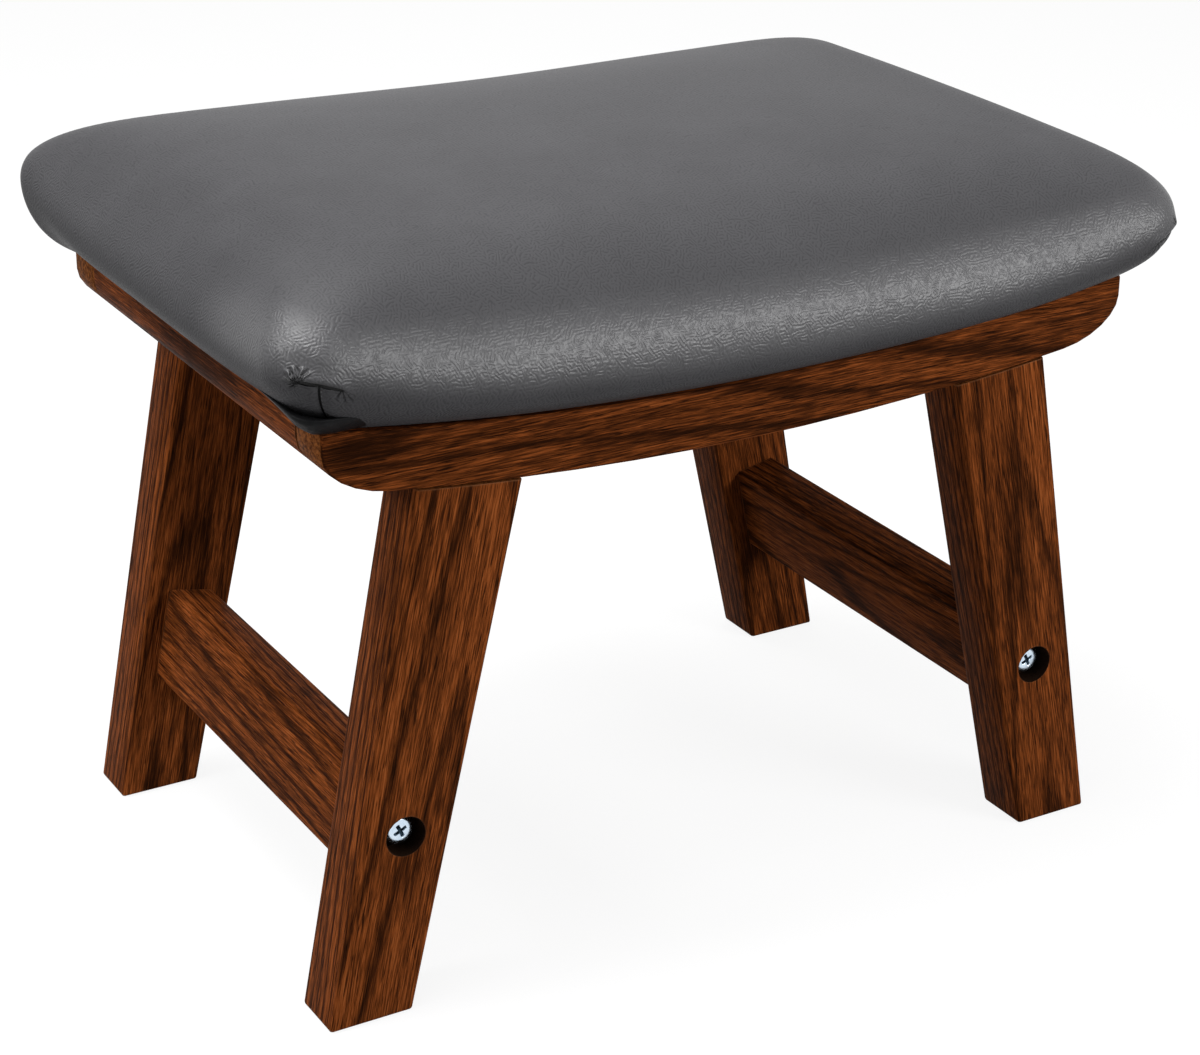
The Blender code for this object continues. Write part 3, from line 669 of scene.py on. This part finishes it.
def leather_creases(tree, place):
    """Fine creases like a finger's print: stripes of one pitch, whose way turns from patch to patch."""
    facing = outwards(tree)
    bends = noise_vector(tree, place, CREASE_BENDS, 1.0)
    bent = vector_calc(tree, "MULTIPLY_ADD", bends, (CREASE_BEND_REACH,) * 3, place)
    height, total = 0.0, 0.0
    for row, ways in enumerate(CREASE_WAYS):
        patches = noise_vector(tree, vector_calc(tree, "ADD", place, (row, row, row)), CREASE_PATCHES)
        for share, way in zip(split(tree, patches), ways):
            turns = Vector(way) * (2 * math.pi / CREASE_PITCH)
            stripes = calc(tree, "SINE", vector_measure(tree, "DOT_PRODUCT", bent, turns))
            sunk = vector_measure(tree, "DOT_PRODUCT", facing, way)
            lying = calc(tree, "SUBTRACT", 1.0, calc(tree, "MULTIPLY", sunk, sunk))
            weight = calc(tree, "MULTIPLY", calc(tree, "POWER", share, CREASE_CHOICE), lying)
            height = calc(tree, "MULTIPLY_ADD", stripes, weight, height)
            total = calc(tree, "ADD", total, weight)
    return calc(tree, "MULTIPLY_ADD", calc(tree, "DIVIDE", height, total), 0.5, 0.5)


def leather_polish(tree, place, up):
    """How polished the leather is: most on the roll, less on the top and at the back of the ends."""
    axes = split(tree, place)
    roll = fade(tree, up, *ROLL_LEVELS, SIDE_POLISH, ROLL_POLISH)
    top = fade(tree, up, *TOP_LEVELS, 1.0, TOP_POLISH)
    starts, ends = (HALF_LENGTH - distance for distance in END_REACH)
    endwise = fade(tree, calc(tree, "ABSOLUTE", axes["X"]), starts, ends, 1.0, END_POLISH)
    front = fade(tree, axes["Y"], *FRONT_REACH, 0.0, FRONT_POLISH)
    return product(tree, roll, top, calc(tree, "MAXIMUM", endwise, front))


def leather():
    """Charcoal leather: fine creases and a T seam at each corner, both with painted shade, and polish round
    the shoulder.
    """
    made, tree, shader = new_finish(
        "charcoal_leather", Specular_IOR_Level=LEATHER_SPECULAR, Coat_Roughness=POLISH_ROUGHNESS
    )
    place = own_place(tree)
    creases = leather_creases(tree, place)
    cloudy = noise(tree, place, CLOUD_SCALE, 3.0)
    lines, stitches, puckers, up = seam_shading(tree)
    colour = ramp(tree, cloudy, LEATHER_TONES)
    # painted shade darkens the creases' valleys
    colour = blend(tree, fade(tree, creases, 0.1, 0.5, CREASE_SHADE, 0.0), colour, CREASE_PAINTED_SHADE)
    colour = blend(tree, calc(tree, "MULTIPLY", stitches, STITCH_SHARE), colour, STITCH_COLOUR)
    # painted shade along the dart and the seam
    colour = blend(tree, lines, colour, SEAM_PAINTED_SHADE)
    roughness = calc(tree, "MULTIPLY_ADD", creases, -0.08, fade(tree, cloudy, 0.3, 0.7, 0.39, 0.43))
    fine = noise(tree, place, FINE_GRAIN_SCALE, 2.0)
    grain = calc(tree, "MULTIPLY_ADD", fine, FINE_GRAIN_SHARE, creases)
    grain = calc(tree, "MULTIPLY", grain, fade(tree, up, *WEAR_LEVELS, 1.0, TOP_CREASES))
    normal = bump(tree, grain, CREASE_RELIEF, bump(tree, puckers, FAN_RELIEF))
    link_surface(tree, shader, colour, roughness, normal)
    tree.links.new(leather_polish(tree, place, up), shader.inputs["Coat Weight"])
    tree.links.new(normal, shader.inputs["Coat Normal"])
    return made


def shaded_fold_finish():
    """Near-black painted shade on the corner fold."""
    made, tree, shader = new_finish("fold_painted_shade", Specular_IOR_Level=0.05)
    cloudy = noise(tree, own_place(tree), 500.0, 4.0)
    roughness = fade(tree, cloudy, 0.3, 0.7, 0.5, 0.4)
    link_surface(tree, shader, ramp(tree, cloudy, FOLD_SHADE_TONES), roughness, bump(tree, cloudy, 0.0002))
    return made


def saddle(x):
    """Height of the rails' top edge along the seat."""
    return RAIL_TOP + SADDLE_RADIUS - np.sqrt(SADDLE_RADIUS**2 - x**2)


def reach(half, radius):
    """Length of half a side, from its middle to the middle of its round corner."""
    return half - radius + radius * math.pi / 4


def seam_marks(length):
    """Marks from -1 to 1 along a side of twice a length: fine at the corner seams, then growing."""
    marks, step = [0.0], FINE_STEP
    while marks[-1] + step < length:
        marks.append(marks[-1] + step)
        if marks[-1] > FINE_REACH:
            step = min(step * STEP_GROWTH, COARSE_STEP)
    if length - marks[-1] < step / 2:
        marks.pop()
    near = 1 - np.array(marks) / length
    return np.concatenate((-near, [0.0], near[::-1]))


def round_outline(across, along, half_length, half_depth, radius):
    """Plan points of a round-cornered outline, for points on the edge of a unit square."""
    long_side = np.abs(along) >= np.abs(across)
    half = np.where(long_side, half_length, half_depth)
    share = np.where(long_side, across, along)
    travel = np.abs(share) * reach(half, radius)
    flat = half - radius
    angle = np.maximum(travel - flat, 0) / radius
    run = np.sign(share) * (np.minimum(travel, flat) + radius * np.sin(angle))
    other = np.where(long_side, half_depth, half_length) - radius + radius * np.cos(angle)
    x = np.where(long_side, run, np.sign(across) * other)
    y = np.where(long_side, np.sign(along) * other, run)
    return x, y


def smooth_step(value, start, end):
    """A smooth step from 0 to 1 while the value goes from start to end."""
    share = np.clip((value - start) / (end - start), 0, 1)
    return share * share * (3 - 2 * share)


def from_corner(across, along):
    """Distance round the edge from the nearest corner's middle, below 0 on the end sides."""
    on_end = np.abs(across) > np.abs(along)
    along_end = -(1 - np.abs(along)) * reach(HALF_DEPTH, CUSHION_CORNER)
    return np.where(on_end, along_end, (1 - np.abs(across)) * reach(HALF_LENGTH, CUSHION_CORNER))


def cushion_point(across, along, profile, inset):
    """Point of the cushion: profile 1 is the crown's middle, 0 the widest line, -1 the rails' edge."""
    over = np.clip(profile, 0, 1)
    up_shoulder = np.clip(over / SHOULDER_SHARE, 0, 1)
    turn = up_shoulder * math.pi / 2
    draw_in = SHOULDER_WIDTH * (1 - np.cos(turn)) + inset
    ring = round_outline(across, along, HALF_LENGTH - draw_in, HALF_DEPTH - draw_in, CUSHION_CORNER)
    shrink = np.clip((1 - over) / (1 - SHOULDER_SHARE), 0, 1)
    x, y = ring[0] * shrink, ring[1] * shrink
    tuck = np.clip(-profile, 0, 1) * math.pi / 2
    board = round_outline(across, along, BOARD_HALF_LENGTH, BOARD_HALF_DEPTH, BOARD_CORNER)
    x = board[0] + (x - board[0]) * np.cos(tuck)
    y = board[1] + (y - board[1]) * np.cos(tuck)
    along_seat, across_seat = x / HALF_LENGTH, y / HALF_DEPTH
    pull = SIDE_PULL * (1 - up_shoulder) * np.cos(tuck)
    y = y - np.sign(y) * pull * (np.abs(along) >= np.abs(across)) * (1 - along_seat**2)
    shoulder = (SHOULDER_RISE - SHOULDER_DROP * along_seat**2 - inset) * np.sin(turn)
    crown = CROWN_RISE * (1 - np.abs(along_seat) ** CROWN_END_POWER)
    crown = crown * (1 - np.abs(across_seat) ** CROWN_SIDE_POWER)
    level = GIRTH_RISE + shoulder + crown * np.cos(tuck)
    level = level - FILL_TILT * along_seat * np.cos(tuck)
    level = level - (GIRTH_RISE - SEAT_GAP) * np.sin(tuck)
    away = from_corner(across, along)
    drawn = np.where(profile > 0, 1 - smooth_step(over, 0.0, SHOULDER_SHARE), np.cos(tuck))
    drawn = drawn * np.exp(-((away / CORNER_SPREAD) ** 2))
    level = level + np.where(along < 0, FRONT_CORNER_RISE, BACK_CORNER_RISE) * drawn
    lifted = np.exp(-((away / LIFT_SPREAD) ** 2)) * np.sin(2 * tuck)
    level = level + np.where(along < 0, CORNER_LIFT, BACK_CORNER_LIFT) * lifted
    return np.stack((x, y, saddle(x) + level), axis=-1)


def corner_seam(along, up):
    """Outward move near a corner's T seam; along is from the seam, up from the dart."""
    above = up + DART_DROOP * (np.maximum(along, 0) / DART_ARM) ** 2
    beside = np.abs(along)
    before, past = HOLLOW_ENDS
    within = 1 - smooth_step(beside, DART_ARM - before, DART_ARM + past)
    below = smooth_step(-above, 0.0, SEAM_START)
    beyond = np.maximum(beside - DART_ARM + LIP_END, 0)
    away = np.hypot(beyond, above) / LIP_REACH
    fullness = LIP_RISE * (LIP_FULLNESS - LIP_LEAN * np.tanh(along / LIP_LEAN_REACH))
    wrapped = smooth_step(beyond, 0.0, LIP_WRAP) * np.exp(np.minimum(above, 0) / LIP_WRAP_FALL)
    lip = fullness * np.where(above > 0, 1, wrapped) * away * np.exp(1 - away)
    hollow = DART_HOLLOW * below * np.exp(above / HOLLOW_FALL) * within
    seam = SEAM_DEPTH * np.exp(-((along / SEAM_WIDTH) ** 2)) * below
    puff = SEAM_PUFF * np.exp(-(((beside - PUFF_PLACE) / PUFF_WIDTH) ** 2))
    puff = puff * below * np.exp(above / PUFF_FALL)
    return lip - hollow - seam + puff


def cushion_mesh():
    """The cover's mesh, each point's way along and up from its nearest T seam, and that seam's boldness."""
    lines = [seam_marks(reach(half, CUSHION_CORNER)) for half in (HALF_LENGTH, HALF_DEPTH)]
    last_u, last_v = (len(marks) - 1 for marks in lines)
    square = [(i, j) for i in range(last_u + 1) for j in range(last_v + 1)]
    cells = [(i, j) for i in range(last_u) for j in range(last_v)]
    rim = [(i, 0) for i in range(last_u)] + [(last_u, j) for j in range(last_v)]
    rim += [(i, last_v) for i in range(last_u, 0, -1)] + [(0, j) for j in range(last_v, 0, -1)]
    number = {place: index for index, place in enumerate(square)}

    u, v = (np.array([marks[place[k]] for place in square]) for k, marks in enumerate(lines))
    rim_u, rim_v = (np.array([marks[place[k]] for place in rim]) for k, marks in enumerate(lines))
    ring = np.maximum(np.maximum(np.abs(u), np.abs(v)), 1e-9)
    across = np.concatenate((u / ring, np.tile(rim_u, TUCK_RINGS)))
    along = np.concatenate((v / ring, np.tile(rim_v, TUCK_RINGS)))
    tucks = np.repeat(np.arange(1, TUCK_RINGS + 1) / TUCK_RINGS, len(rim))
    profile = np.concatenate((1 - ring, -tucks))
    points = cushion_point(across, along, profile, CLOTH_INSET)

    loops = [[number[place] for place in rim]]
    for start in range(len(square), len(points), len(rim)):
        loops.append(list(range(start, start + len(rim))))
    under = dict(zip(rim, loops[-1]))
    inside = [place for place in square if place not in under]
    under.update((place, len(points) + k) for k, place in enumerate(inside))
    kept = [number[place] for place in inside]
    plan = round_outline(across[kept], along[kept], BOARD_HALF_LENGTH, BOARD_HALF_DEPTH, BOARD_CORNER)
    x, y = plan[0] * ring[kept], plan[1] * ring[kept]
    points = np.concatenate((points, np.stack((x, y, saddle(x) + SEAT_GAP), axis=-1)))

    faces = [(number[i, j], number[i + 1, j], number[i + 1, j + 1], number[i, j + 1]) for i, j in cells]
    for upper, lower in zip(loops, loops[1:]):
        for k in range(len(rim)):
            after = (k + 1) % len(rim)
            faces.append((upper[after], upper[k], lower[k], lower[after]))
    faces += [(under[i, j + 1], under[i + 1, j + 1], under[i + 1, j], under[i, j]) for i, j in cells]
    mesh = bpy.data.meshes.new("seat_cushion")
    mesh.from_pydata(points.tolist(), [], faces)
    mesh.shade_smooth()

    shoulder_run = math.pi / 2 * math.sqrt((SHOULDER_WIDTH**2 + SHOULDER_RISE**2) / 2)
    tuck_run = math.pi / 2 * math.sqrt((GIRTH_RISE**2 + (HALF_DEPTH - BOARD_HALF_DEPTH) ** 2) / 2)
    up = np.where(profile > 0, profile / SHOULDER_SHARE * shoulder_run, profile * tuck_run) - DART_LEVEL
    aside = from_corner(across, along) - SEAM_SHIFT - SEAM_SLANT * np.minimum(up, 0)
    boldness = np.where((across < 0) & (along < 0), 1.0, FAINT_SEAM)
    return mesh, aside, up, boldness


def vertex_values(mesh, key):
    """One vector for each point of a mesh."""
    values = np.zeros(len(mesh.vertices) * 3)
    mesh.vertices.foreach_get(key, values)
    return values.reshape(-1, 3)


def eased_move(mesh, move):
    """Each point's move, evened out with its neighbours' moves."""
    edges = np.zeros(len(mesh.edges) * 2, dtype=int)
    mesh.edges.foreach_get("vertices", edges)
    first, second = edges.reshape(-1, 2).T
    meeting = np.bincount(edges, minlength=len(move))[:, None]
    for _ in range(CLOTH_EASING):
        around = np.zeros_like(move)
        np.add.at(around, first, move[second])
        np.add.at(around, second, move[first])
        move = around / meeting
    return move


def settle_cloth(piece):
    """Lets the cover swell as cloth over its filling, and keeps the result in its mesh."""
    scene, mesh = bpy.context.scene, piece.data
    start = vertex_values(mesh, "co")
    level = start[:, 2] - saddle(start[:, 0])
    held = piece.vertex_groups.new(name="held")
    held.add([int(k) for k in np.nonzero(level < CLOTH_HELD)[0]], 1.0, "REPLACE")
    cloth = piece.modifiers.new("cloth", "CLOTH")
    cloth.settings.vertex_group_mass = "held"
    cloth.settings.use_pressure = True
    cloth.settings.uniform_pressure_force = CLOTH_PRESSURE
    cloth.settings.effector_weights.gravity = 0
    cloth.settings.tension_stiffness = CLOTH_STIFFNESS
    cloth.settings.compression_stiffness = CLOTH_STIFFNESS
    cloth.settings.bending_stiffness = CLOTH_BENDING
    cloth.settings.quality = CLOTH_QUALITY
    cloth.point_cache.frame_end = CLOTH_FRAMES
    for number in range(1, CLOTH_FRAMES + 1):
        scene.frame_set(number)
    settled = piece.evaluated_get(bpy.context.evaluated_depsgraph_get()).to_mesh()
    move = vertex_values(settled, "co") - start
    piece.modifiers.remove(cloth)
    scene.frame_set(1)
    length = np.linalg.norm(move, axis=1, keepdims=True)
    move *= np.minimum(1, CLOTH_REACH / np.maximum(length, 1e-9))
    mesh.vertices.foreach_set("co", (start + eased_move(mesh, move)).ravel())
    mesh.update()


def sew_corners(piece, aside, up, boldness):
    """Presses the T seams into the cover and marks where they run."""
    mesh, seen = piece.data, len(up)
    points, normals = vertex_values(mesh, "co"), vertex_values(mesh, "normal")
    points[:seen] += normals[:seen] * (boldness * corner_seam(aside, up))[:, None]
    mesh.vertices.foreach_set("co", points.ravel())
    places = np.ones_like(points)
    places[:seen] = np.stack((aside, up, np.zeros(seen)), axis=-1)
    mesh.attributes.new("seam_place", "FLOAT_VECTOR", "POINT").data.foreach_set("vector", places.ravel())
    mesh.update()


def seat_cushion():
    """The leather cushion, standing for the cover and the foam inside it."""
    mesh, aside, up, boldness = cushion_mesh()
    piece = new_object("seat_cushion", mesh, leather())
    settle_cloth(piece)
    sew_corners(piece, aside, up, boldness)
    subdivide_once(piece)
    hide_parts("seat_cover", "foam_pad")


def corner_fold():
    """A fold of the cover that hangs out under the cushion's front left corner, painted near black as
    shade.
    """
    side, row = CORNERS["front_left"]
    points = []
    for step in range(-FOLD_STEPS, FOLD_STEPS + 1):
        share = abs(step) / FOLD_STEPS
        across, along = side, row
        if step < 0:
            along *= 1 - share * FOLD_END_REACH / reach(HALF_DEPTH, CUSHION_CORNER)
        else:
            across *= 1 - share * FOLD_SIDE_REACH / reach(HALF_LENGTH, CUSHION_CORNER)
        hang = (1 - share) ** FOLD_TAPER
        for inset, low in FOLD_SECTION:
            tuck = math.acos(1 - inset / (HALF_DEPTH - BOARD_HALF_DEPTH)) / (math.pi / 2)
            under = cushion_point(across, along, -tuck, 0.0)[2] + FOLD_HIDDEN
            x, y = round_outline(across, along, HALF_LENGTH - inset, HALF_DEPTH - inset, FOLD_CORNER)
            hung = saddle(x) + low
            points.append((float(x), float(y), float(under + (hung - under) * hang)))
    mesh = ringed_mesh("front_left_fold", points, len(FOLD_SECTION))
    # the fold is painted near black as shade
    piece = new_object("front_left_fold", mesh, shaded_fold_finish())
    subdivide_once(piece)


# Bolts, and the pieces inside the frame

def zinc():
    """Bright zinc plating with a faint blue cast, with shade painted dark in the driver recesses."""
    made, tree, shader = new_finish("zinc_plating", Metallic=1.0)
    place = own_place(tree)
    cloudy = noise(tree, place, 320.0, 4.0)
    sunk = put(tree, "ShaderNodeAttribute", attribute_name="recess").outputs["Fac"]
    # the driver recess is painted dark as shade
    colour = blend(tree, fade(tree, sunk, 0.1, 0.45), ramp(tree, cloudy, ZINC_TONES), RECESS_PAINTED_SHADE)
    roughness = fade(tree, cloudy, 0.3, 0.7, 0.20, 0.34)
    link_surface(tree, shader, colour, roughness, bump(tree, noise(tree, place, 1900.0, 3.0), 0.00001))
    return made


def bare_wood():
    """Plain beech of the blocks and dowels."""
    made, tree, shader = new_finish("bare_wood", Specular_IOR_Level=INNER_WOOD_SPECULAR)
    fibres = noise(tree, stretch(tree, own_place(tree), BEECH_SCALE), 1.0, 5.0)
    roughness = fade(tree, fibres, 0.3, 0.7, 0.72, 0.58)
    link_surface(tree, shader, ramp(tree, fibres, BEECH_TONES), roughness, bump(tree, fibres, 0.0001))
    return made


def plywood():
    """Bent plywood, with the plies showing at its edges."""
    made, tree, shader = new_finish("plywood", Specular_IOR_Level=INNER_WOOD_SPECULAR)
    place = own_place(tree)
    fibres = noise(tree, stretch(tree, place, PLYWOOD_SCALE), 1.0, 5.0)
    inputs = {"Vector": place, "Scale": PLY_SCALE, "Distortion": 0.6}
    plies = put(tree, "ShaderNodeTexWave", inputs, bands_direction="Z").outputs["Fac"]
    colour = ramp(tree, fibres, PLYWOOD_TONES)
    colour = blend(tree, calc(tree, "MULTIPLY", plies, PLY_EDGE_SHARE), colour, PLY_EDGE)
    roughness = fade(tree, fibres, 0.3, 0.7, 0.78, 0.62)
    link_surface(tree, shader, colour, roughness, bump(tree, fibres, 0.0001))
    return made


def dust_cloth():
    """Black non-woven cloth with matted fibres."""
    made, tree, shader = new_finish("black_cloth", Specular_IOR_Level=0.2)
    mat = noise(tree, own_place(tree), 900.0, 5.0, 0.7, 1.5)
    roughness = fade(tree, mat, 0.3, 0.7, 0.95, 0.80)
    link_surface(tree, shader, ramp(tree, mat, DUST_CLOTH_TONES), roughness, bump(tree, mat, 0.0002))
    return made


def recess(across, upright):
    """Depth of the driver recess at a place on a bolt's face."""
    turned = (
        across * math.cos(RECESS_TURN) + upright * math.sin(RECESS_TURN),
        upright * math.cos(RECESS_TURN) - across * math.sin(RECESS_TURN),
    )
    longer, shorter = max(map(abs, turned)), min(map(abs, turned))
    inside = 1 - smooth_step(shorter, RECESS_HALF_WIDTH - RECESS_WALL, RECESS_HALF_WIDTH + RECESS_WALL)
    reached = 1 - smooth_step(longer, RECESS_ARM - RECESS_END, RECESS_ARM + RECESS_END)
    return RECESS_DEPTH * inside * reached * (1 - RECESS_RISE * longer / RECESS_ARM)


def bolt_profile(head, length):
    """Radius and way from the tip of each ring of a pan-head bolt, from its tip to its face's middle."""
    seat = length - BOLT_HEAD_HEIGHT
    rings = [(BOLT_TIP, 0.0), (BOLT_SHANK, BOLT_TIP_LENGTH), (BOLT_SHANK, seat), (head, seat)]
    for step in range(BOLT_ROUNDING_STEPS + 1):
        angle = math.pi / 2 * step / BOLT_ROUNDING_STEPS
        radius = head - BOLT_ROUNDING * (1 - math.cos(angle))
        rings.append((radius, length - BOLT_ROUNDING * (1 - math.sin(angle))))
    flat = head - BOLT_ROUNDING
    return rings + [(flat * (1 - step / BOLT_FACE_RINGS), length) for step in range(1, BOLT_FACE_RINGS)]


def stretcher_bolts(finish):
    """Pan-head bolts in the legs' counterbores, with a driver recess."""
    for corner, (_, row) in CORNERS.items():
        node = corner + "_stretcher_bolt"
        low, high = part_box(node)
        middle = middle_of(node)
        tip, face = (high.y, low.y) if row < 0 else (low.y, high.y)
        length = abs(face - tip)
        points, depths = [], []
        for radius, rise in bolt_profile((high.x - low.x) / 2, length):
            for step in range(BOLT_TURNS):
                angle = 2 * math.pi * step / BOLT_TURNS
                across, upright = radius * math.cos(angle), radius * math.sin(angle)
                depth = recess(across, upright) if rise == length else 0.0
                points.append((middle.x + across, tip + row * (rise - depth), middle.z + upright))
                depths.append(depth / RECESS_DEPTH)
        name = corner + "_pan_bolt"
        piece = new_object(name, ringed_mesh(name, points, BOLT_TURNS), finish)
        piece.data.attributes.new("recess", "FLOAT", "POINT").data.foreach_set("value", depths)
        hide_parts(node)


def dress_fittings():
    """Finishes of the fasteners and of the pieces inside the frame."""
    finishes = {"zinc": zinc(), "plain_wood": bare_wood(), "plywood": plywood(), "dust_cloth": dust_cloth()}
    for row in frame["record"]["subparts"]:
        if row["material_slot"] in finishes:
            dress(row["node"], finishes[row["material_slot"]])
    stretcher_bolts(finishes["zinc"])


# Studio

def set_camera():
    """The camera at the photograph's place and angle."""
    level = math.cos(VIEW_ELEVATION)
    back = Vector((
        math.sin(VIEW_AZIMUTH) * level,
        -math.cos(VIEW_AZIMUTH) * level,
        math.sin(VIEW_ELEVATION),
    ))
    right = Vector((0, 0, 1)).cross(back).normalized()
    upright = Matrix((right, back.cross(right), back)).transposed().to_4x4()
    camera = bpy.data.objects.new("camera", bpy.data.cameras.new("camera"))
    camera.data.lens = CAMERA_LENS
    camera.data.sensor_width = CAMERA_SENSOR
    camera.data.shift_x, camera.data.shift_y = CAMERA_SHIFT
    rolled = upright @ Matrix.Rotation(VIEW_ROLL, 4, "Z")
    camera.matrix_world = Matrix.Translation(CAMERA_PLACE) @ rolled
    bpy.context.scene.collection.objects.link(camera)
    bpy.context.scene.camera = camera


def softbox(name, place, size, power):
    """A rectangular soft lamp that faces the stool."""
    lamp = bpy.data.lights.new(name, "AREA")
    lamp.shape = "RECTANGLE"
    lamp.size, lamp.size_y = size
    lamp.energy = power
    holder = bpy.data.objects.new(name, lamp)
    holder.location = place
    holder.rotation_euler = (Vector(LAMP_TARGET) - Vector(place)).to_track_quat("-Z", "Y").to_euler()
    bpy.context.scene.collection.objects.link(holder)


def seen_directly(tree):
    """1 for rays that show the background: from the camera, off metal or through glass."""
    path = tree.nodes.new("ShaderNodeLightPath").outputs
    seen = calc(tree, "MAXIMUM", path["Is Camera Ray"], path["Is Glossy Ray"])
    return calc(tree, "MAXIMUM", seen, path["Is Transmission Ray"])


def white_background():
    """White all round to the eye, and dimmer as light."""
    world = bpy.data.worlds.new("studio")
    world.use_nodes = True
    bpy.context.scene.world = world
    tree = world.node_tree
    sky = tree.nodes["Background"]
    sky.inputs["Color"].default_value = (1, 1, 1, 1)
    level = calc(tree, "MULTIPLY_ADD", seen_directly(tree), 1 - AMBIENT_LEVEL, AMBIENT_LEVEL)
    tree.links.new(level, sky.inputs["Strength"])


def pale_floor():
    """A floor that looks near white and keeps the stool's shadow."""
    made = bpy.data.materials.new("studio_floor")
    made.use_nodes = True
    tree = made.node_tree
    tree.nodes.remove(tree.nodes["Principled BSDF"])
    seen = seen_directly(tree)
    shade = blend(tree, seen, (FLOOR_BOUNCE,) * 3, (FLOOR_SEEN,) * 3)
    paint = put(tree, "ShaderNodeBsdfDiffuse", {"Color": shade}).outputs[0]
    white = put(tree, "ShaderNodeEmission", {"Color": (1, 1, 1, 1), "Strength": 1.0}).outputs[0]
    share = calc(tree, "MULTIPLY", seen, FLOOR_WHITE)
    mixed = put(tree, "ShaderNodeMixShader", {0: share, 1: paint, 2: white}).outputs[0]
    tree.links.new(mixed, tree.nodes["Material Output"].inputs["Surface"])
    mesh = bpy.data.meshes.new("floor")
    half = FLOOR_SIZE / 2
    corners = [(-half, -half), (half, -half), (half, half), (-half, half)]
    mesh.from_pydata([(x, y, -FLOOR_DROP) for x, y in corners], [], [(0, 1, 2, 3)])
    new_object("floor", mesh, made, body=None)


def studio():
    """White background, pale floor and soft lamps."""
    bpy.context.scene.view_settings.view_transform = "Standard"
    white_background()
    pale_floor()
    for name, (place, size, power) in SOFTBOXES.items():
        softbox(name, place, size, power)


set_camera()
studio()
dress_walnut()
dress_fittings()
seat_cushion()
corner_fold()
